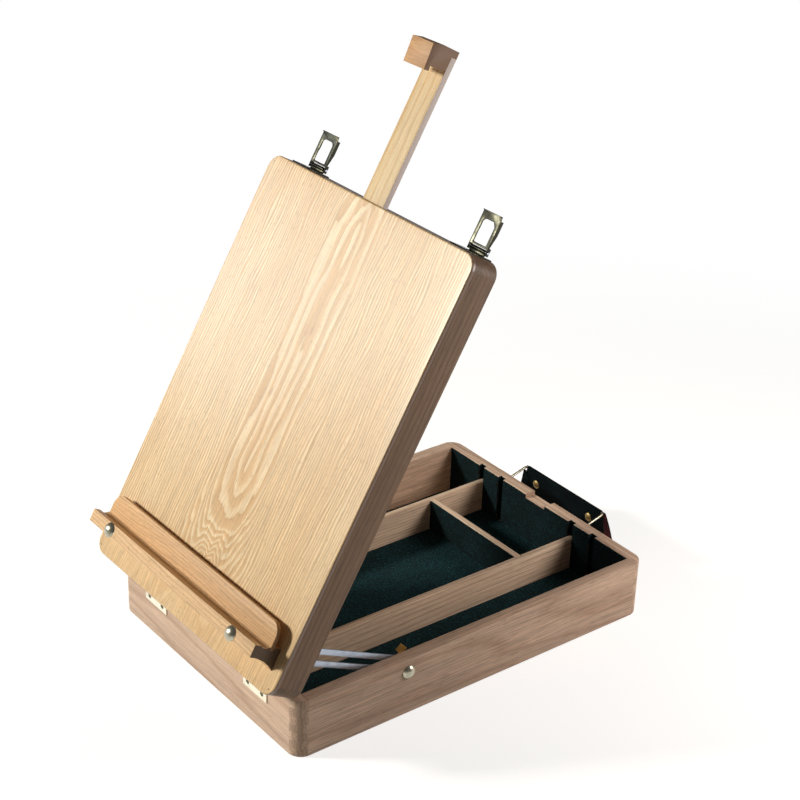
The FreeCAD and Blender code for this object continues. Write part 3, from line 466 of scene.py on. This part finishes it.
# the groove faces of the end walls take the dark felt, as painted shade inside the grooves
for name in ("base_front_wall", "base_rear_wall"):
    wall = bpy.data.objects[name + "_finished"]
    wall.data.materials.append(felt)
    for face in wall.data.polygons:
        if in_groove(face.center) and face.center.z < 0.0598:
            face.material_index = 1


# Dividers: two thin boards that stand in grooves of the end walls, and a short one
# housed between them. They are left bare and show straight, plain grain.

DIVIDER_WOOD = ("#E6CBB0", "#D0AE90", "#A5836A")


def divider_rim(point):
    return point.z > 0.0424


for name, turn, shift in (("divider_left", 0.0, (0.13, 0.2, 0.0)),
                          ("divider_right", 0.0, (0.33, 0.6, 0.1)),
                          ("divider_cross", QUARTER, (0.53, 0.1, 0.2))):
    eased(name, 0.0008, wood("planed_hardwood_" + name, *DIVIDER_WOOD, turn=turn,
                             shift=shift, heart=(0.05, 0.0, 0.12), lean=(0.01, 0.0, 0.02),
                             gloss=0.6, wander=0.006, contrast=1.4, fibre_length=0.08),
          divider_rim)


# Lid frame: four rails, finger-jointed like the box and glued under the panel. Their
# colour is set darker and browner than the box's.

TILT = math.radians(60.25)
HINGE = Vector((0.0, -0.210, 0.060))
CLOSE = Matrix.Rotation(-TILT, 3, "X")
CLOSED_SHIFT = HINGE - CLOSE @ HINGE


def closed(point):
    """Where a point of the lid lies when the lid is shut."""
    return CLOSE @ (point - HINGE) + HINGE


def lid_rim(point):
    """True on the lower rim of the lid frame, away from the glued joints."""
    at = closed(point)
    joint = abs(abs(at.y) - (HALF_DEPTH - WALL)) < 0.0001 and abs(at.x) > 0.137
    return at.z < 0.0604 and not joint


LID_WOOD = ("#8B6F57", "#765942", "#4C3929")
for name, turn, shift, heart in (
        ("lid_front_rail", QUARTER, (0.1, 0.2, 0.6), (0.03, 0.0, -0.05)),
        ("lid_top_rail", QUARTER, (0.3, 0.5, 0.9), (0.02, 0.0, -0.04)),
        ("lid_left_rail", 0.0, (0.5, 0.1, 0.2), (0.05, 0.0, 0.02)),
        ("lid_right_rail", 0.0, (0.9, 0.3, 0.4), (0.02, 0.0, -0.16))):
    eased(name, 0.0006, wood("oiled_hardwood_" + name, *LID_WOOD, tilt=TILT, turn=turn,
                             shift=shift, heart=heart, lean=(0.01, 0.0, 0.01),
                             wander=0.005, ring=0.0024, contrast=1.8, ends=0.3,
                             fibre_length=0.10), lid_rim)


# Drawing panel: plywood faced with a crown-cut veneer, glued and bradded to the frame,
# its edge rounded over. The veneer's figure is a tall flame up the middle, closed by
# nested points near the foot, with straight lines at both sides.

veneer = bpy.data.materials.new("crown_cut_veneer_lacquered")
veneer.use_nodes = True
tree = veneer.node_tree
place = add(tree, "TexCoord")
board = add(tree, "Mapping", None,
            {"Vector": place.outputs["Object"], "Rotation": (-TILT, 0.0, 0.0),
             "Location": CLOSED_SHIFT + Vector((0.0, -0.053, 0.0))})
sway = add(tree, "Mapping", None, {"Vector": board.outputs[0],
                                   "Scale": (1 / 0.045, 1 / 0.13, 1.0)})
sway_noise = add(tree, "TexNoise", {"noise_dimensions": "2D"},
                 {"Vector": sway.outputs[0], "Scale": 1.0, "Detail": 2.0})
ripple = add(tree, "Mapping", None, {"Vector": board.outputs[0],
                                     "Scale": (1 / 0.011, 1 / 0.030, 1.0)})
ripple_noise = add(tree, "TexNoise", {"noise_dimensions": "2D"},
                   {"Vector": ripple.outputs[0], "Scale": 1.0, "Detail": 2.0})
swayed = add(tree, "VectorMath", {"operation": "MULTIPLY_ADD"},
             {0: sway_noise.outputs["Color"], 1: (0.012, 0.030, 0.0),
              2: board.outputs[0]})
rippled = add(tree, "VectorMath", {"operation": "MULTIPLY_ADD"},
              {0: ripple_noise.outputs["Color"], 1: (0.0014, 0.014, 0.0),
               2: swayed.outputs[0]})
figure = add(tree, "VectorMath", {"operation": "SUBTRACT"},
             {0: rippled.outputs[0], 1: (0.0067, 0.031, 0.0)})
parts = add(tree, "SeparateXYZ", None, {"Vector": figure.outputs[0]})
aside = add(tree, "Math", {"operation": "ABSOLUTE"}, {0: parts.outputs["X"]})
# the flame closes in points at both ends of a long straight heart
from_middle = add(tree, "Math", {"operation": "ABSOLUTE"}, {0: parts.outputs["Y"]})
past_heart = add(tree, "Math", {"operation": "SUBTRACT"}, {0: from_middle.outputs[0],
                                                           1: 0.117})
along = add(tree, "Math", {"operation": "MAXIMUM"}, {0: past_heart.outputs[0], 1: 0.0})
# away from its axis the lines run on to the panel's ends
widening = add(tree, "Math", {"operation": "MULTIPLY"}, {0: aside.outputs[0], 1: 1 / 0.06})
squared = add(tree, "Math", {"operation": "POWER"}, {0: widening.outputs[0], 1: 2.0})
spread = add(tree, "Math", {"operation": "MULTIPLY_ADD"}, {0: squared.outputs[0], 1: 9.0,
                                                          2: 1.8})
height = add(tree, "Math", {"operation": "DIVIDE"}, {0: along.outputs[0],
                                                     1: spread.outputs[0]})
POINTED = 1.35
aside_power = add(tree, "Math", {"operation": "POWER"}, {0: aside.outputs[0], 1: POINTED})
height_power = add(tree, "Math", {"operation": "POWER"}, {0: height.outputs[0],
                                                          1: POINTED})
total = add(tree, "Math", {"operation": "ADD"}, {0: aside_power.outputs[0],
                                                 1: height_power.outputs[0]})
radius = add(tree, "Math", {"operation": "POWER"}, {0: total.outputs[0],
                                                    1: 1 / POINTED})
# two wide rings fill the heart of the flame; beyond it they lie close
wide = add(tree, "Math", {"operation": "MULTIPLY"}, {0: radius.outputs[0], 1: 1 / 0.0115})
close = add(tree, "Math", {"operation": "MULTIPLY_ADD"},
            {0: radius.outputs[0], 1: 1 / 0.0034, 2: 2.75 - 0.0316 / 0.0034})
ring_count = add(tree, "Math", {"operation": "MAXIMUM"}, {0: wide.outputs[0],
                                                          1: close.outputs[0]})
jostle = add(tree, "Mapping", None, {"Vector": board.outputs[0],
                                     "Scale": (1 / 0.014, 1 / 0.16, 1.0)})
jostle_noise = add(tree, "TexNoise", {"noise_dimensions": "2D"},
                   {"Vector": jostle.outputs[0], "Scale": 1.0, "Detail": 2.0})
jostled = add(tree, "Math", {"operation": "MULTIPLY_ADD"},
              {0: jostle_noise.outputs["Fac"], 1: 1.6, 2: ring_count.outputs[0]})
ring_part = add(tree, "Math", {"operation": "FRACT"}, {0: jostled.outputs[0]})
tone = add(tree, "ValToRGB",
           {"stops": [(0.0, "#C89E66"), (0.12, "#D3A970"), (0.46, "#DBB47F"),
                      (0.58, "#EBCFA2"), (0.84, "#F1DAB2"), (1.0, "#E6C797")]},
           {"Fac": ring_part.outputs[0]})
# the rings come and go, and die away towards the foot of the panel
faded_noise = add(tree, "TexNoise", {"noise_dimensions": "2D"},
                  {"Vector": jostle.outputs[0], "Scale": 0.7, "Detail": 3.0})
faded = add(tree, "MapRange", None, {"Value": faded_noise.outputs["Fac"],
                                     "From Min": 0.35, "From Max": 0.65,
                                     "To Min": 0.60, "To Max": 1.0})
station = add(tree, "SeparateXYZ", None, {"Vector": board.outputs[0]})
foot = add(tree, "MapRange", {"interpolation_type": "SMOOTHSTEP"},
           {"Value": station.outputs["Y"], "From Min": -0.215, "From Max": -0.185,
            "To Min": 0.40, "To Max": 1.0})
drawn = add(tree, "Math", {"operation": "MULTIPLY"}, {0: faded.outputs["Result"],
                                                      1: foot.outputs["Result"]})
ringed = add(tree, "Mix", {"data_type": "RGBA"},
             {"Factor": drawn.outputs[0], 6: linear("#DFBC8A"), 7: tone.outputs["Color"]})
fine = add(tree, "Mapping", None, {"Vector": swayed.outputs[0],
                                   "Scale": (1 / 0.0011, 1 / 0.035, 1 / 0.0011)})
fine_noise = add(tree, "TexNoise", None, {"Vector": fine.outputs[0], "Scale": 1.0,
                                          "Detail": 3.0, "Roughness": 0.65})
streak = add(tree, "MapRange", None, {"Value": fine_noise.outputs["Fac"],
                                      "From Min": 0.3, "From Max": 0.7,
                                      "To Min": 0.74, "To Max": 1.14})
streaked = add(tree, "VectorMath", {"operation": "SCALE"},
               {0: ringed.outputs[2], "Scale": streak.outputs["Result"]})
dash = add(tree, "Mapping", None, {"Vector": swayed.outputs[0],
                                   "Scale": (1 / 0.0008, 1 / 0.006, 1 / 0.0008)})
dash_noise = add(tree, "TexNoise", None, {"Vector": dash.outputs[0], "Scale": 1.0,
                                          "Detail": 1.0})
pores = add(tree, "MapRange", None, {"Value": dash_noise.outputs["Fac"],
                                     "From Min": 0.60, "From Max": 0.74,
                                     "To Max": 0.60})
pored = add(tree, "Mix", {"data_type": "RGBA"},
            {"Factor": pores.outputs["Result"], 6: streaked.outputs["Vector"],
             7: linear("#A07648")})
blush_noise = add(tree, "TexNoise", None, {"Vector": sway.outputs[0], "Scale": 0.6,
                                           "Detail": 1.0})
blush = add(tree, "MapRange", None, {"Value": blush_noise.outputs["Fac"],
                                     "From Min": 0.35, "From Max": 0.65,
                                     "To Min": 0.0, "To Max": 0.35})
warmed = add(tree, "Mix", {"data_type": "RGBA", "blend_type": "MULTIPLY"},
             {"Factor": blush.outputs["Result"], 6: pored.outputs[2],
              7: linear("#F3DDBD")})
# two pin knots in the middle of the flame
knotted = warmed.outputs[2]
for at in ((0.0025, 0.030, 0.0), (-0.013, -0.037, 0.0)):
    beside = add(tree, "VectorMath", {"operation": "SUBTRACT"}, {0: board.outputs[0],
                                                                 1: at})
    narrowed = add(tree, "VectorMath", {"operation": "MULTIPLY"},
                   {0: beside.outputs[0], 1: (1.0, 0.4, 0.0)})
    away = add(tree, "VectorMath", {"operation": "LENGTH"}, {0: narrowed.outputs[0]})
    spot = add(tree, "MapRange", {"interpolation_type": "SMOOTHSTEP"},
               {"Value": away.outputs["Value"], "From Min": 0.0006, "From Max": 0.0030,
                "To Min": 0.55, "To Max": 0.0})
    knotted = add(tree, "Mix", {"data_type": "RGBA"},
                  {"Factor": spot.outputs["Result"], 6: knotted,
                   7: linear("#A9794A")}).outputs[2]
relief = add(tree, "Math", {"operation": "SUBTRACT"}, {0: fine_noise.outputs["Fac"],
                                                       1: pores.outputs["Result"]})
bump = add(tree, "Bump", None, {"Strength": 0.25, "Distance": 0.0002,
                                "Height": relief.outputs[0]})
# the edges of the sheet are coloured brown like the frame
facing = add(tree, "Mapping", {"vector_type": "VECTOR"},
             {"Vector": place.outputs["Normal"], "Rotation": (-TILT, 0.0, 0.0)})
outward = add(tree, "SeparateXYZ", None, {"Vector": facing.outputs[0]})
flat_on = add(tree, "Math", {"operation": "ABSOLUTE"}, {0: outward.outputs["Z"]})
on_edge = add(tree, "MapRange", None, {"Value": flat_on.outputs[0], "From Min": 0.85,
                                       "From Max": 0.45, "To Min": 0.0, "To Max": 1.0})
finished = add(tree, "Mix", {"data_type": "RGBA"},
               {"Factor": on_edge.outputs["Result"], 6: knotted, 7: linear("#8B6D5A")})
surface = tree.nodes["Principled BSDF"]
surface.inputs["Roughness"].default_value = 0.5
surface.inputs["Specular IOR Level"].default_value = 0.3
surface.inputs["Coat Weight"].default_value = 0.7
surface.inputs["Coat Roughness"].default_value = 0.27
tree.links.new(finished.outputs[2], surface.inputs["Base Color"])
tree.links.new(bump.outputs[0], surface.inputs["Normal"])
dress(copy_of("lid_panel"), "lid_panel", veneer)


# Brads: thin steel pins driven flush at the corners of the panel.

def plated(name, code, rough, scratch=0.4, specks=None):
    """Plated or polished metal, faintly scratched and dulled by handling."""
    made = bpy.data.materials.new(name)
    made.use_nodes = True
    tree = made.node_tree
    place = add(tree, "TexCoord")
    smear_noise = add(tree, "TexNoise", None, {"Vector": place.outputs["Object"],
                                               "Scale": 160.0, "Detail": 3.0})
    grit_noise = add(tree, "TexNoise", None, {"Vector": place.outputs["Object"],
                                              "Scale": 1400.0, "Detail": 2.0})
    smear = add(tree, "MapRange", None, {"Value": smear_noise.outputs["Fac"],
                                         "From Min": 0.3, "From Max": 0.7,
                                         "To Min": rough - 0.07, "To Max": rough + 0.12})
    dull = add(tree, "MapRange", None, {"Value": smear_noise.outputs["Fac"],
                                        "From Min": 0.45, "From Max": 0.75,
                                        "To Max": 0.5})
    colour = add(tree, "Mix", {"data_type": "RGBA"},
                 {"Factor": dull.outputs["Result"], 6: linear(code),
                  7: linear(specks or code)})
    bump = add(tree, "Bump", None, {"Strength": 0.15 * scratch, "Distance": 0.0001,
                                    "Height": grit_noise.outputs["Fac"]})
    surface = tree.nodes["Principled BSDF"]
    surface.inputs["Metallic"].default_value = 1.0
    tree.links.new(colour.outputs[2], surface.inputs["Base Color"])
    tree.links.new(smear.outputs["Result"], surface.inputs["Roughness"])
    tree.links.new(bump.outputs[0], surface.inputs["Normal"])
    return made


steel = plated("zinc_plated_steel_rolled", "#AEB7C4", 0.38, 1.0, "#8F98A6")
brass = plated("brass_turned", "#E3C684", 0.42, 0.5, "#B89758")
nickel = plated("nickel_plated_steel_tumbled", "#BDB8A4", 0.30, 0.4, "#6E694F")
latch_metal = plated("brass_plated_steel_stamped", "#33322A", 0.30, 0.6, "#131209")
hinge_metal = plated("brass_plated_steel_pressed", "#FBF6E2", 0.40, 0.6, "#E3DBBE")
hinge_screw_metal = plated("blackened_steel_turned", "#6B6A50", 0.35, 0.6, "#3A3A2C")
aged_brass = plated("brass_aged_pressed", "#A08A5C", 0.45, 0.6, "#6E5C38")

dress(copy_of("panel_brads"), "panel_brads", hinge_screw_metal)


# Butt hinges: pressed leaves with rolled knuckles on a steel pin, let in at the front
# edge and held by slotted countersunk screws.

def slotted(name, facing, material, start=20):
    """Screws of a node, each with a driver slot milled across its head."""
    joined = copy_of(name)
    bpy.ops.object.mode_set(mode="EDIT")
    bpy.ops.mesh.select_all(action="SELECT")
    bpy.ops.mesh.separate(type="LOOSE")
    bpy.ops.object.mode_set(mode="OBJECT")
    screws = sorted(bpy.context.selected_objects,
                    key=lambda o: (round(o.data.vertices[0].co.x, 3),
                                   round(o.data.vertices[0].co.z, 3)))
    for number, screw in enumerate(screws):
        top = max(v.co.dot(facing) for v in screw.data.vertices)
        rim = [v.co for v in screw.data.vertices if v.co.dot(facing) > top - 0.00002]
        head = sum(rim, Vector()) / len(rim)
        spin = math.radians(start + 67 * number)
        bpy.ops.mesh.primitive_cube_add(size=1.0, location=head)
        blade = bpy.context.object
        blade.scale = (0.0070, 0.0007, 0.0015)
        blade.rotation_mode = "QUATERNION"
        blade.rotation_quaternion = (facing.to_track_quat("Z", "X")
                                     @ Quaternion((0.0, 0.0, 1.0), spin))
        bpy.context.view_layer.update()
        only(screw)
        milled = screw.modifiers.new("slot", "BOOLEAN")
        milled.operation = "DIFFERENCE"
        milled.object = blade
        bpy.ops.object.modifier_apply(modifier="slot")
        bpy.data.objects.remove(blade)
    bpy.ops.object.select_all(action="DESELECT")
    for screw in screws:
        screw.select_set(True)
    bpy.context.view_layer.objects.active = joined
    bpy.ops.object.join()
    return dress(joined, name, material)


FRONTWARD = Vector((0.0, -1.0, 0.0))
REARWARD = Vector((0.0, 1.0, 0.0))
LID_FOOTWARD = CLOSE.transposed() @ FRONTWARD
LID_TOPWARD = CLOSE.transposed() @ REARWARD
LID_BACKWARD = CLOSE.transposed() @ Vector((0.0, 0.0, -1.0))

eased("base_hinge_leaves", 0.00018, hinge_metal)
eased("lid_hinge_leaves", 0.00018, hinge_metal)
dress(copy_of("hinge_pins"), "hinge_pins", steel)
slotted("base_hinge_screws", FRONTWARD, hinge_screw_metal)
slotted("lid_hinge_screws", LID_FOOTWARD, hinge_screw_metal, 50)


# Stays: slotted straps of cold-rolled steel, each on a rivet at the lid and clamped to
# the box by a carriage bolt, a washer and a brass wing nut.

for side in ("left", "right"):
    eased("stay_" + side, 0.00020, steel)
    eased("stay_rivet_" + side, 0.00015, steel)
    eased("stay_washer_" + side, 0.00015, steel)
    eased("stay_wing_nut_" + side, 0.00060, brass, segments=3)
eased("clamp_bolts", 0.00015, nickel)


# Ledge: a shelf across the foot of the panel, planed to a coved section and grooved on
# top for pencils, with a thin rounded plate let in behind the groove. Two carriage
# bolts with wing nuts hold it.

# the ends are dark end grain, their colour and share set darker still as painted shade on
# the end faces
LEDGE_WOOD = ("#DFB88A", "#CB9F6E", "#4A382B")
ledge_wood = wood("oiled_hardwood_ledge", *LEDGE_WOOD, tilt=TILT, turn=QUARTER,
                  shift=(0.2, 0.1, 0.0), heart=(0.05, 0.0, 0.06), lean=(0.0, 0.0, 0.04),
                  ring=0.0024, gloss=0.46, wander=0.006, ends=0.9)
plate_wood = wood("oiled_hardwood_ledge_plate", "#D9AC78", "#C39462", "#6A4C34",
                  tilt=TILT, turn=QUARTER, shift=(0.6, 0.3, 0.4), heart=(0.05, 0.0, 0.06),
                  ring=0.0022, gloss=0.5)
COVE_STRIPS = 6
COVE_DEPTH = 0.0016
bar = copy_of("ledge_bar")
bpy.ops.object.mode_set(mode="EDIT")
bpy.ops.mesh.select_mode(type="FACE")
bpy.ops.mesh.select_all(action="DESELECT")
mesh = bmesh.from_edit_mesh(bar.data)
under = max((f for f in mesh.faces if (CLOSE @ f.normal).y < -0.5
             and (CLOSE @ f.normal).z > 0.1), key=lambda f: f.calc_area())
under.select = True
inward = -under.normal.copy()
corners = sorted((v.co.copy() for v in under.verts), key=lambda p: closed(p).z)
low_edge, high_edge = corners[0], corners[-1]
run = high_edge - low_edge
run.x = 0.0
low_edge.x = 0.0
bmesh.update_edit_mesh(bar.data)
for strip in range(1, COVE_STRIPS):
    share = strip / COVE_STRIPS
    bpy.ops.mesh.bisect(plane_co=low_edge + run * share, plane_no=run.normalized())
    bpy.ops.mesh.select_all(action="DESELECT")
    mesh = bmesh.from_edit_mesh(bar.data)
    for face in mesh.faces:
        off = (face.calc_center_median() - low_edge).dot(inward)
        face.select = abs(off) < 0.00005 and face.normal.dot(inward) < -0.99
    bmesh.update_edit_mesh(bar.data)
bpy.ops.mesh.select_mode(type="VERT")
for strip in range(1, COVE_STRIPS):
    share = strip / COVE_STRIPS
    bpy.ops.mesh.select_all(action="DESELECT")
    mesh = bmesh.from_edit_mesh(bar.data)
    station = low_edge + run * share
    for vertex in mesh.verts:
        apart = vertex.co - station
        apart.x = 0.0
        vertex.select = apart.length < 0.0001
    mesh.select_flush_mode()
    bmesh.update_edit_mesh(bar.data)
    bpy.ops.transform.translate(value=inward * COVE_DEPTH * 4 * share * (1 - share))
bpy.ops.object.mode_set(mode="OBJECT")
bevelled(bar, 0.0009, lambda edge: (edge.calc_face_angle() > 0.5
                                    and edge.calc_length() > 0.005
                                    and closed(middle(edge)).z > 0.0922), 3)
dress(bar, "ledge_bar", ledge_wood)
eased("ledge_back_plate", 0.0008, plate_wood,
      lambda p: closed(p).y > -0.1650)
eased("ledge_bolts", 0.00015, nickel)
eased("ledge_washers", 0.00015, steel)
for side in ("left", "right"):
    eased("ledge_wing_nut_" + side, 0.00045, brass, segments=3)


# Mast: a flat bar of pale straight-grained wood that slides under the panel between
# two rebated guides, with a keeper over them and a stop pin at its foot.

# the mast's sides take a pale, cool colour as a painted tint of the cool shade light on
# them
mast_wood = wood("planed_pale_hardwood_mast", "#E6C99C", "#D8B482", "#B58C60", tilt=TILT,
                 shift=(0.1, 0.3, 0.2), heart=(0.03, 0.0, 0.05), lean=(0.006, 0.0, 0.01),
                 ring=0.0026, gloss=0.5, wander=0.006, contrast=0.9, painted_side_tint="#EFE3E0")
guide_wood = wood("planed_hardwood_guides", *LID_WOOD, tilt=TILT, shift=(0.7, 0.1, 0.5))
keeper_wood = wood("planed_hardwood_keeper", *LID_WOOD, tilt=TILT, turn=QUARTER,
                   shift=(0.2, 0.6, 0.1))
eased("mast", 0.0007, mast_wood, segments=3)
eased("mast_guide_left", 0.0005, guide_wood)
eased("mast_guide_right", 0.0005, guide_wood)
eased("mast_keeper", 0.0006, keeper_wood)
eased("mast_stop_pin", 0.0003, steel)


# Mast block: a small notched block screwed across the head of the mast. Its lip holds
# the top edge of a canvas. The grain runs across it, so its ends are dark end grain;
# their colour is also greyed and cooled as painted shade for the shaded side.

block_wood = wood("oiled_hardwood_block", "#C99B6C", "#B5865A", "#6E5A52", tilt=TILT,
                  turn=QUARTER, shift=(0.4, 0.2, 0.7), heart=(0.01, 0.0, 0.03),
                  ring=0.0020, gloss=0.5)
eased("mast_block", 0.0006, block_wood)
slotted("mast_block_screws", LID_BACKWARD, brass, 35)


# Hasp latches: a plate screwed to the top rail with a rolled knuckle, and a stamped
# frame with turned-back sides that swings on a pin and hooks over a catch on the box.

eased("latch_plates", 0.00018, latch_metal)
slotted("latch_screws", LID_TOPWARD, latch_metal)
dress(copy_of("latch_pins"), "latch_pins", steel)
for side in ("left", "right"):
    hasp = copy_of("hasp_" + side)
    low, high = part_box("hasp_" + side)
    centre_x = (low.x + high.x) / 2
    # the punched window is drawn wider as the sides are turned back
    for vertex in hasp.data.vertices:
        off_centre = vertex.co.x - centre_x
        if 0.0060 < abs(off_centre) < 0.0075:
            vertex.co.x += math.copysign(0.0014, off_centre)
    for reach_low, reach_high, offset in ((0.022, 0.030, 0.0042), (0.002, 0.007, 0.0010)):
        def window_corner(edge):
            ends = [closed(v.co) for v in edge.verts]
            off_pin = (ends[0].y + ends[1].y) / 2 - 0.213
            return (abs((ends[0] - ends[1]).normalized().z) > 0.99
                    and reach_low < off_pin < reach_high
                    and abs(ends[0].x - centre_x) < 0.0090)

        bevelled(hasp, offset, window_corner, 6)

    def lip_corner(edge):
        ends = [closed(v.co) for v in edge.verts]
        off_pin = (ends[0].y + ends[1].y) / 2 - 0.213
        return (off_pin > 0.0295 and abs(ends[0].x - centre_x) > 0.0115
                and abs((ends[0] - ends[1]).normalized().y) > 0.99)

    bevelled(hasp, 0.0013, lip_corner, 4)
    bevelled(hasp, 0.0002, lambda edge: edge.calc_face_angle() > 0.9)
    dress(hasp, "hasp_" + side, latch_metal)
eased("latch_catches", 0.00018, latch_metal)
slotted("catch_screws", REARWARD, latch_metal, 10)


# Carrying handle: a wire bail that turns in two brackets on the rear wall.

eased("handle_brackets", 0.00018, latch_metal)
slotted("bracket_screws", REARWARD, latch_metal, 75)
eased("handle_bail", 0.00010, nickel)


# Handle grip: one piece of black leatherette with a maroon lining, folded over the
# wire and riveted through both flaps. The outer flap hangs away from the inner one,
# so the lining shows at the ends and at the cut corners.

leather = bpy.data.materials.new("leatherette_embossed")
leather.use_nodes = True
tree = leather.node_tree
place = add(tree, "TexCoord")
pebble = add(tree, "TexVoronoi", {"feature": "SMOOTH_F1"},
             {"Vector": place.outputs["Object"], "Scale": 900.0, "Smoothness": 0.6})
wear = add(tree, "TexNoise", None, {"Vector": place.outputs["Object"], "Scale": 60.0,
                                    "Detail": 3.0})
leather_tone = add(tree, "ValToRGB", {"stops": [(0.35, "#010709"), (0.60, "#030D10"),
                                                (0.80, "#0C1B1E")]},
                   {"Fac": wear.outputs["Fac"]})
pebbled = add(tree, "Bump", None, {"Strength": 0.5, "Distance": 0.0003,
                                   "Height": pebble.outputs["Distance"]})
surface = tree.nodes["Principled BSDF"]
surface.inputs["Roughness"].default_value = 0.65
surface.inputs["Specular IOR Level"].default_value = 0.06
tree.links.new(leather_tone.outputs["Color"], surface.inputs["Base Color"])
tree.links.new(pebbled.outputs[0], surface.inputs["Normal"])

lining = bpy.data.materials.new("lining_cloth_dyed")
lining.use_nodes = True
tree = lining.node_tree
place = add(tree, "TexCoord")
weave = add(tree, "TexNoise", None, {"Vector": place.outputs["Object"], "Scale": 800.0,
                                     "Detail": 2.0})
dye = add(tree, "ValToRGB", {"stops": [(0.3, "#4E1720"), (0.6, "#6E2530"),
                                       (0.8, "#8A3A42")]}, {"Fac": weave.outputs["Fac"]})
woven = add(tree, "Bump", None, {"Strength": 0.4, "Distance": 0.0002,
                                 "Height": weave.outputs["Fac"]})
surface = tree.nodes["Principled BSDF"]
surface.inputs["Roughness"].default_value = 0.85
tree.links.new(dye.outputs["Color"], surface.inputs["Base Color"])
tree.links.new(woven.outputs[0], surface.inputs["Normal"])

WIRE = Vector((0.0, 0.23553, 0.05939))
FOLD_RADIUS = 0.0022
INNER_DROP = 0.0325
OUTER_LEAN = math.atan2(0.0078, 0.0335)
FOLD_TURN = math.pi - OUTER_LEAN
FOLD_RUN = FOLD_RADIUS * FOLD_TURN
SHEET_RUN = 2 * INNER_DROP + FOLD_RUN
bpy.ops.mesh.primitive_grid_add(x_subdivisions=56, y_subdivisions=40, size=1.0)
grip = bpy.context.object
grip.name = "handle_grip_folded"
for vertex in grip.data.vertices:
    share_x = vertex.co.x * 2
    along = (vertex.co.y + 0.5) * SHEET_RUN
    if along < INNER_DROP:
        drop = INNER_DROP - along
        y, z = -FOLD_RADIUS, -drop
    elif along < INNER_DROP + FOLD_RUN:
        drop = 0.0
        turned = (along - INNER_DROP) / FOLD_RADIUS
        y, z = -FOLD_RADIUS * math.cos(turned), FOLD_RADIUS * math.sin(turned)
    else:
        drop = along - INNER_DROP - FOLD_RUN
        y = FOLD_RADIUS * math.cos(OUTER_LEAN) + drop * math.sin(OUTER_LEAN)
        z = FOLD_RADIUS * math.sin(OUTER_LEAN) - drop * math.cos(OUTER_LEAN)
    half = 0.0612 + 0.0058 * drop / INNER_DROP
    # the flaps belly a little between the fold and their lower edges
    belly = 0.0006 * math.sin(math.pi * min(1.0, drop / INNER_DROP))
    y += -belly * 0.3 if along < INNER_DROP else belly
    vertex.co = WIRE + Vector((share_x * half, y, z))
only(grip)
bpy.ops.object.mode_set(mode="EDIT")
bpy.ops.mesh.select_mode(type="FACE")
bpy.ops.mesh.select_all(action="DESELECT")
mesh = bmesh.from_edit_mesh(grip.data)
for face in mesh.faces:
    middle = face.calc_center_median() - WIRE
    over_wire = abs(middle.x) > 0.0565 and middle.z > -0.0045
    face.select = over_wire and middle.y < FOLD_RADIUS * 0.9
bmesh.update_edit_mesh(grip.data)
bpy.ops.mesh.delete(type="FACE")
bpy.ops.mesh.select_all(action="SELECT")
bpy.ops.mesh.normals_make_consistent(inside=False)
mesh = bmesh.from_edit_mesh(grip.data)
outward = sum((f.normal.y for f in mesh.faces
               if f.calc_center_median().y < WIRE.y - FOLD_RADIUS * 0.9))
if outward > 0:
    bpy.ops.mesh.flip_normals()
bpy.ops.object.mode_set(mode="OBJECT")
grip.data.materials.append(leather)
grip.data.materials.append(lining)
thick = grip.modifiers.new("thickness", "SOLIDIFY")
thick.thickness = 0.0011
thick.offset = -1.0
thick.material_offset = 1
thick.material_offset_rim = 0
bpy.ops.object.modifier_apply(modifier="thickness")
only(grip)
bpy.ops.object.shade_smooth_by_angle(angle=math.radians(40))
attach(grip, cad["handle_grip"]["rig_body"])
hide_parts("handle_grip")
eased("grip_rivets", 0.00012, aged_brass)
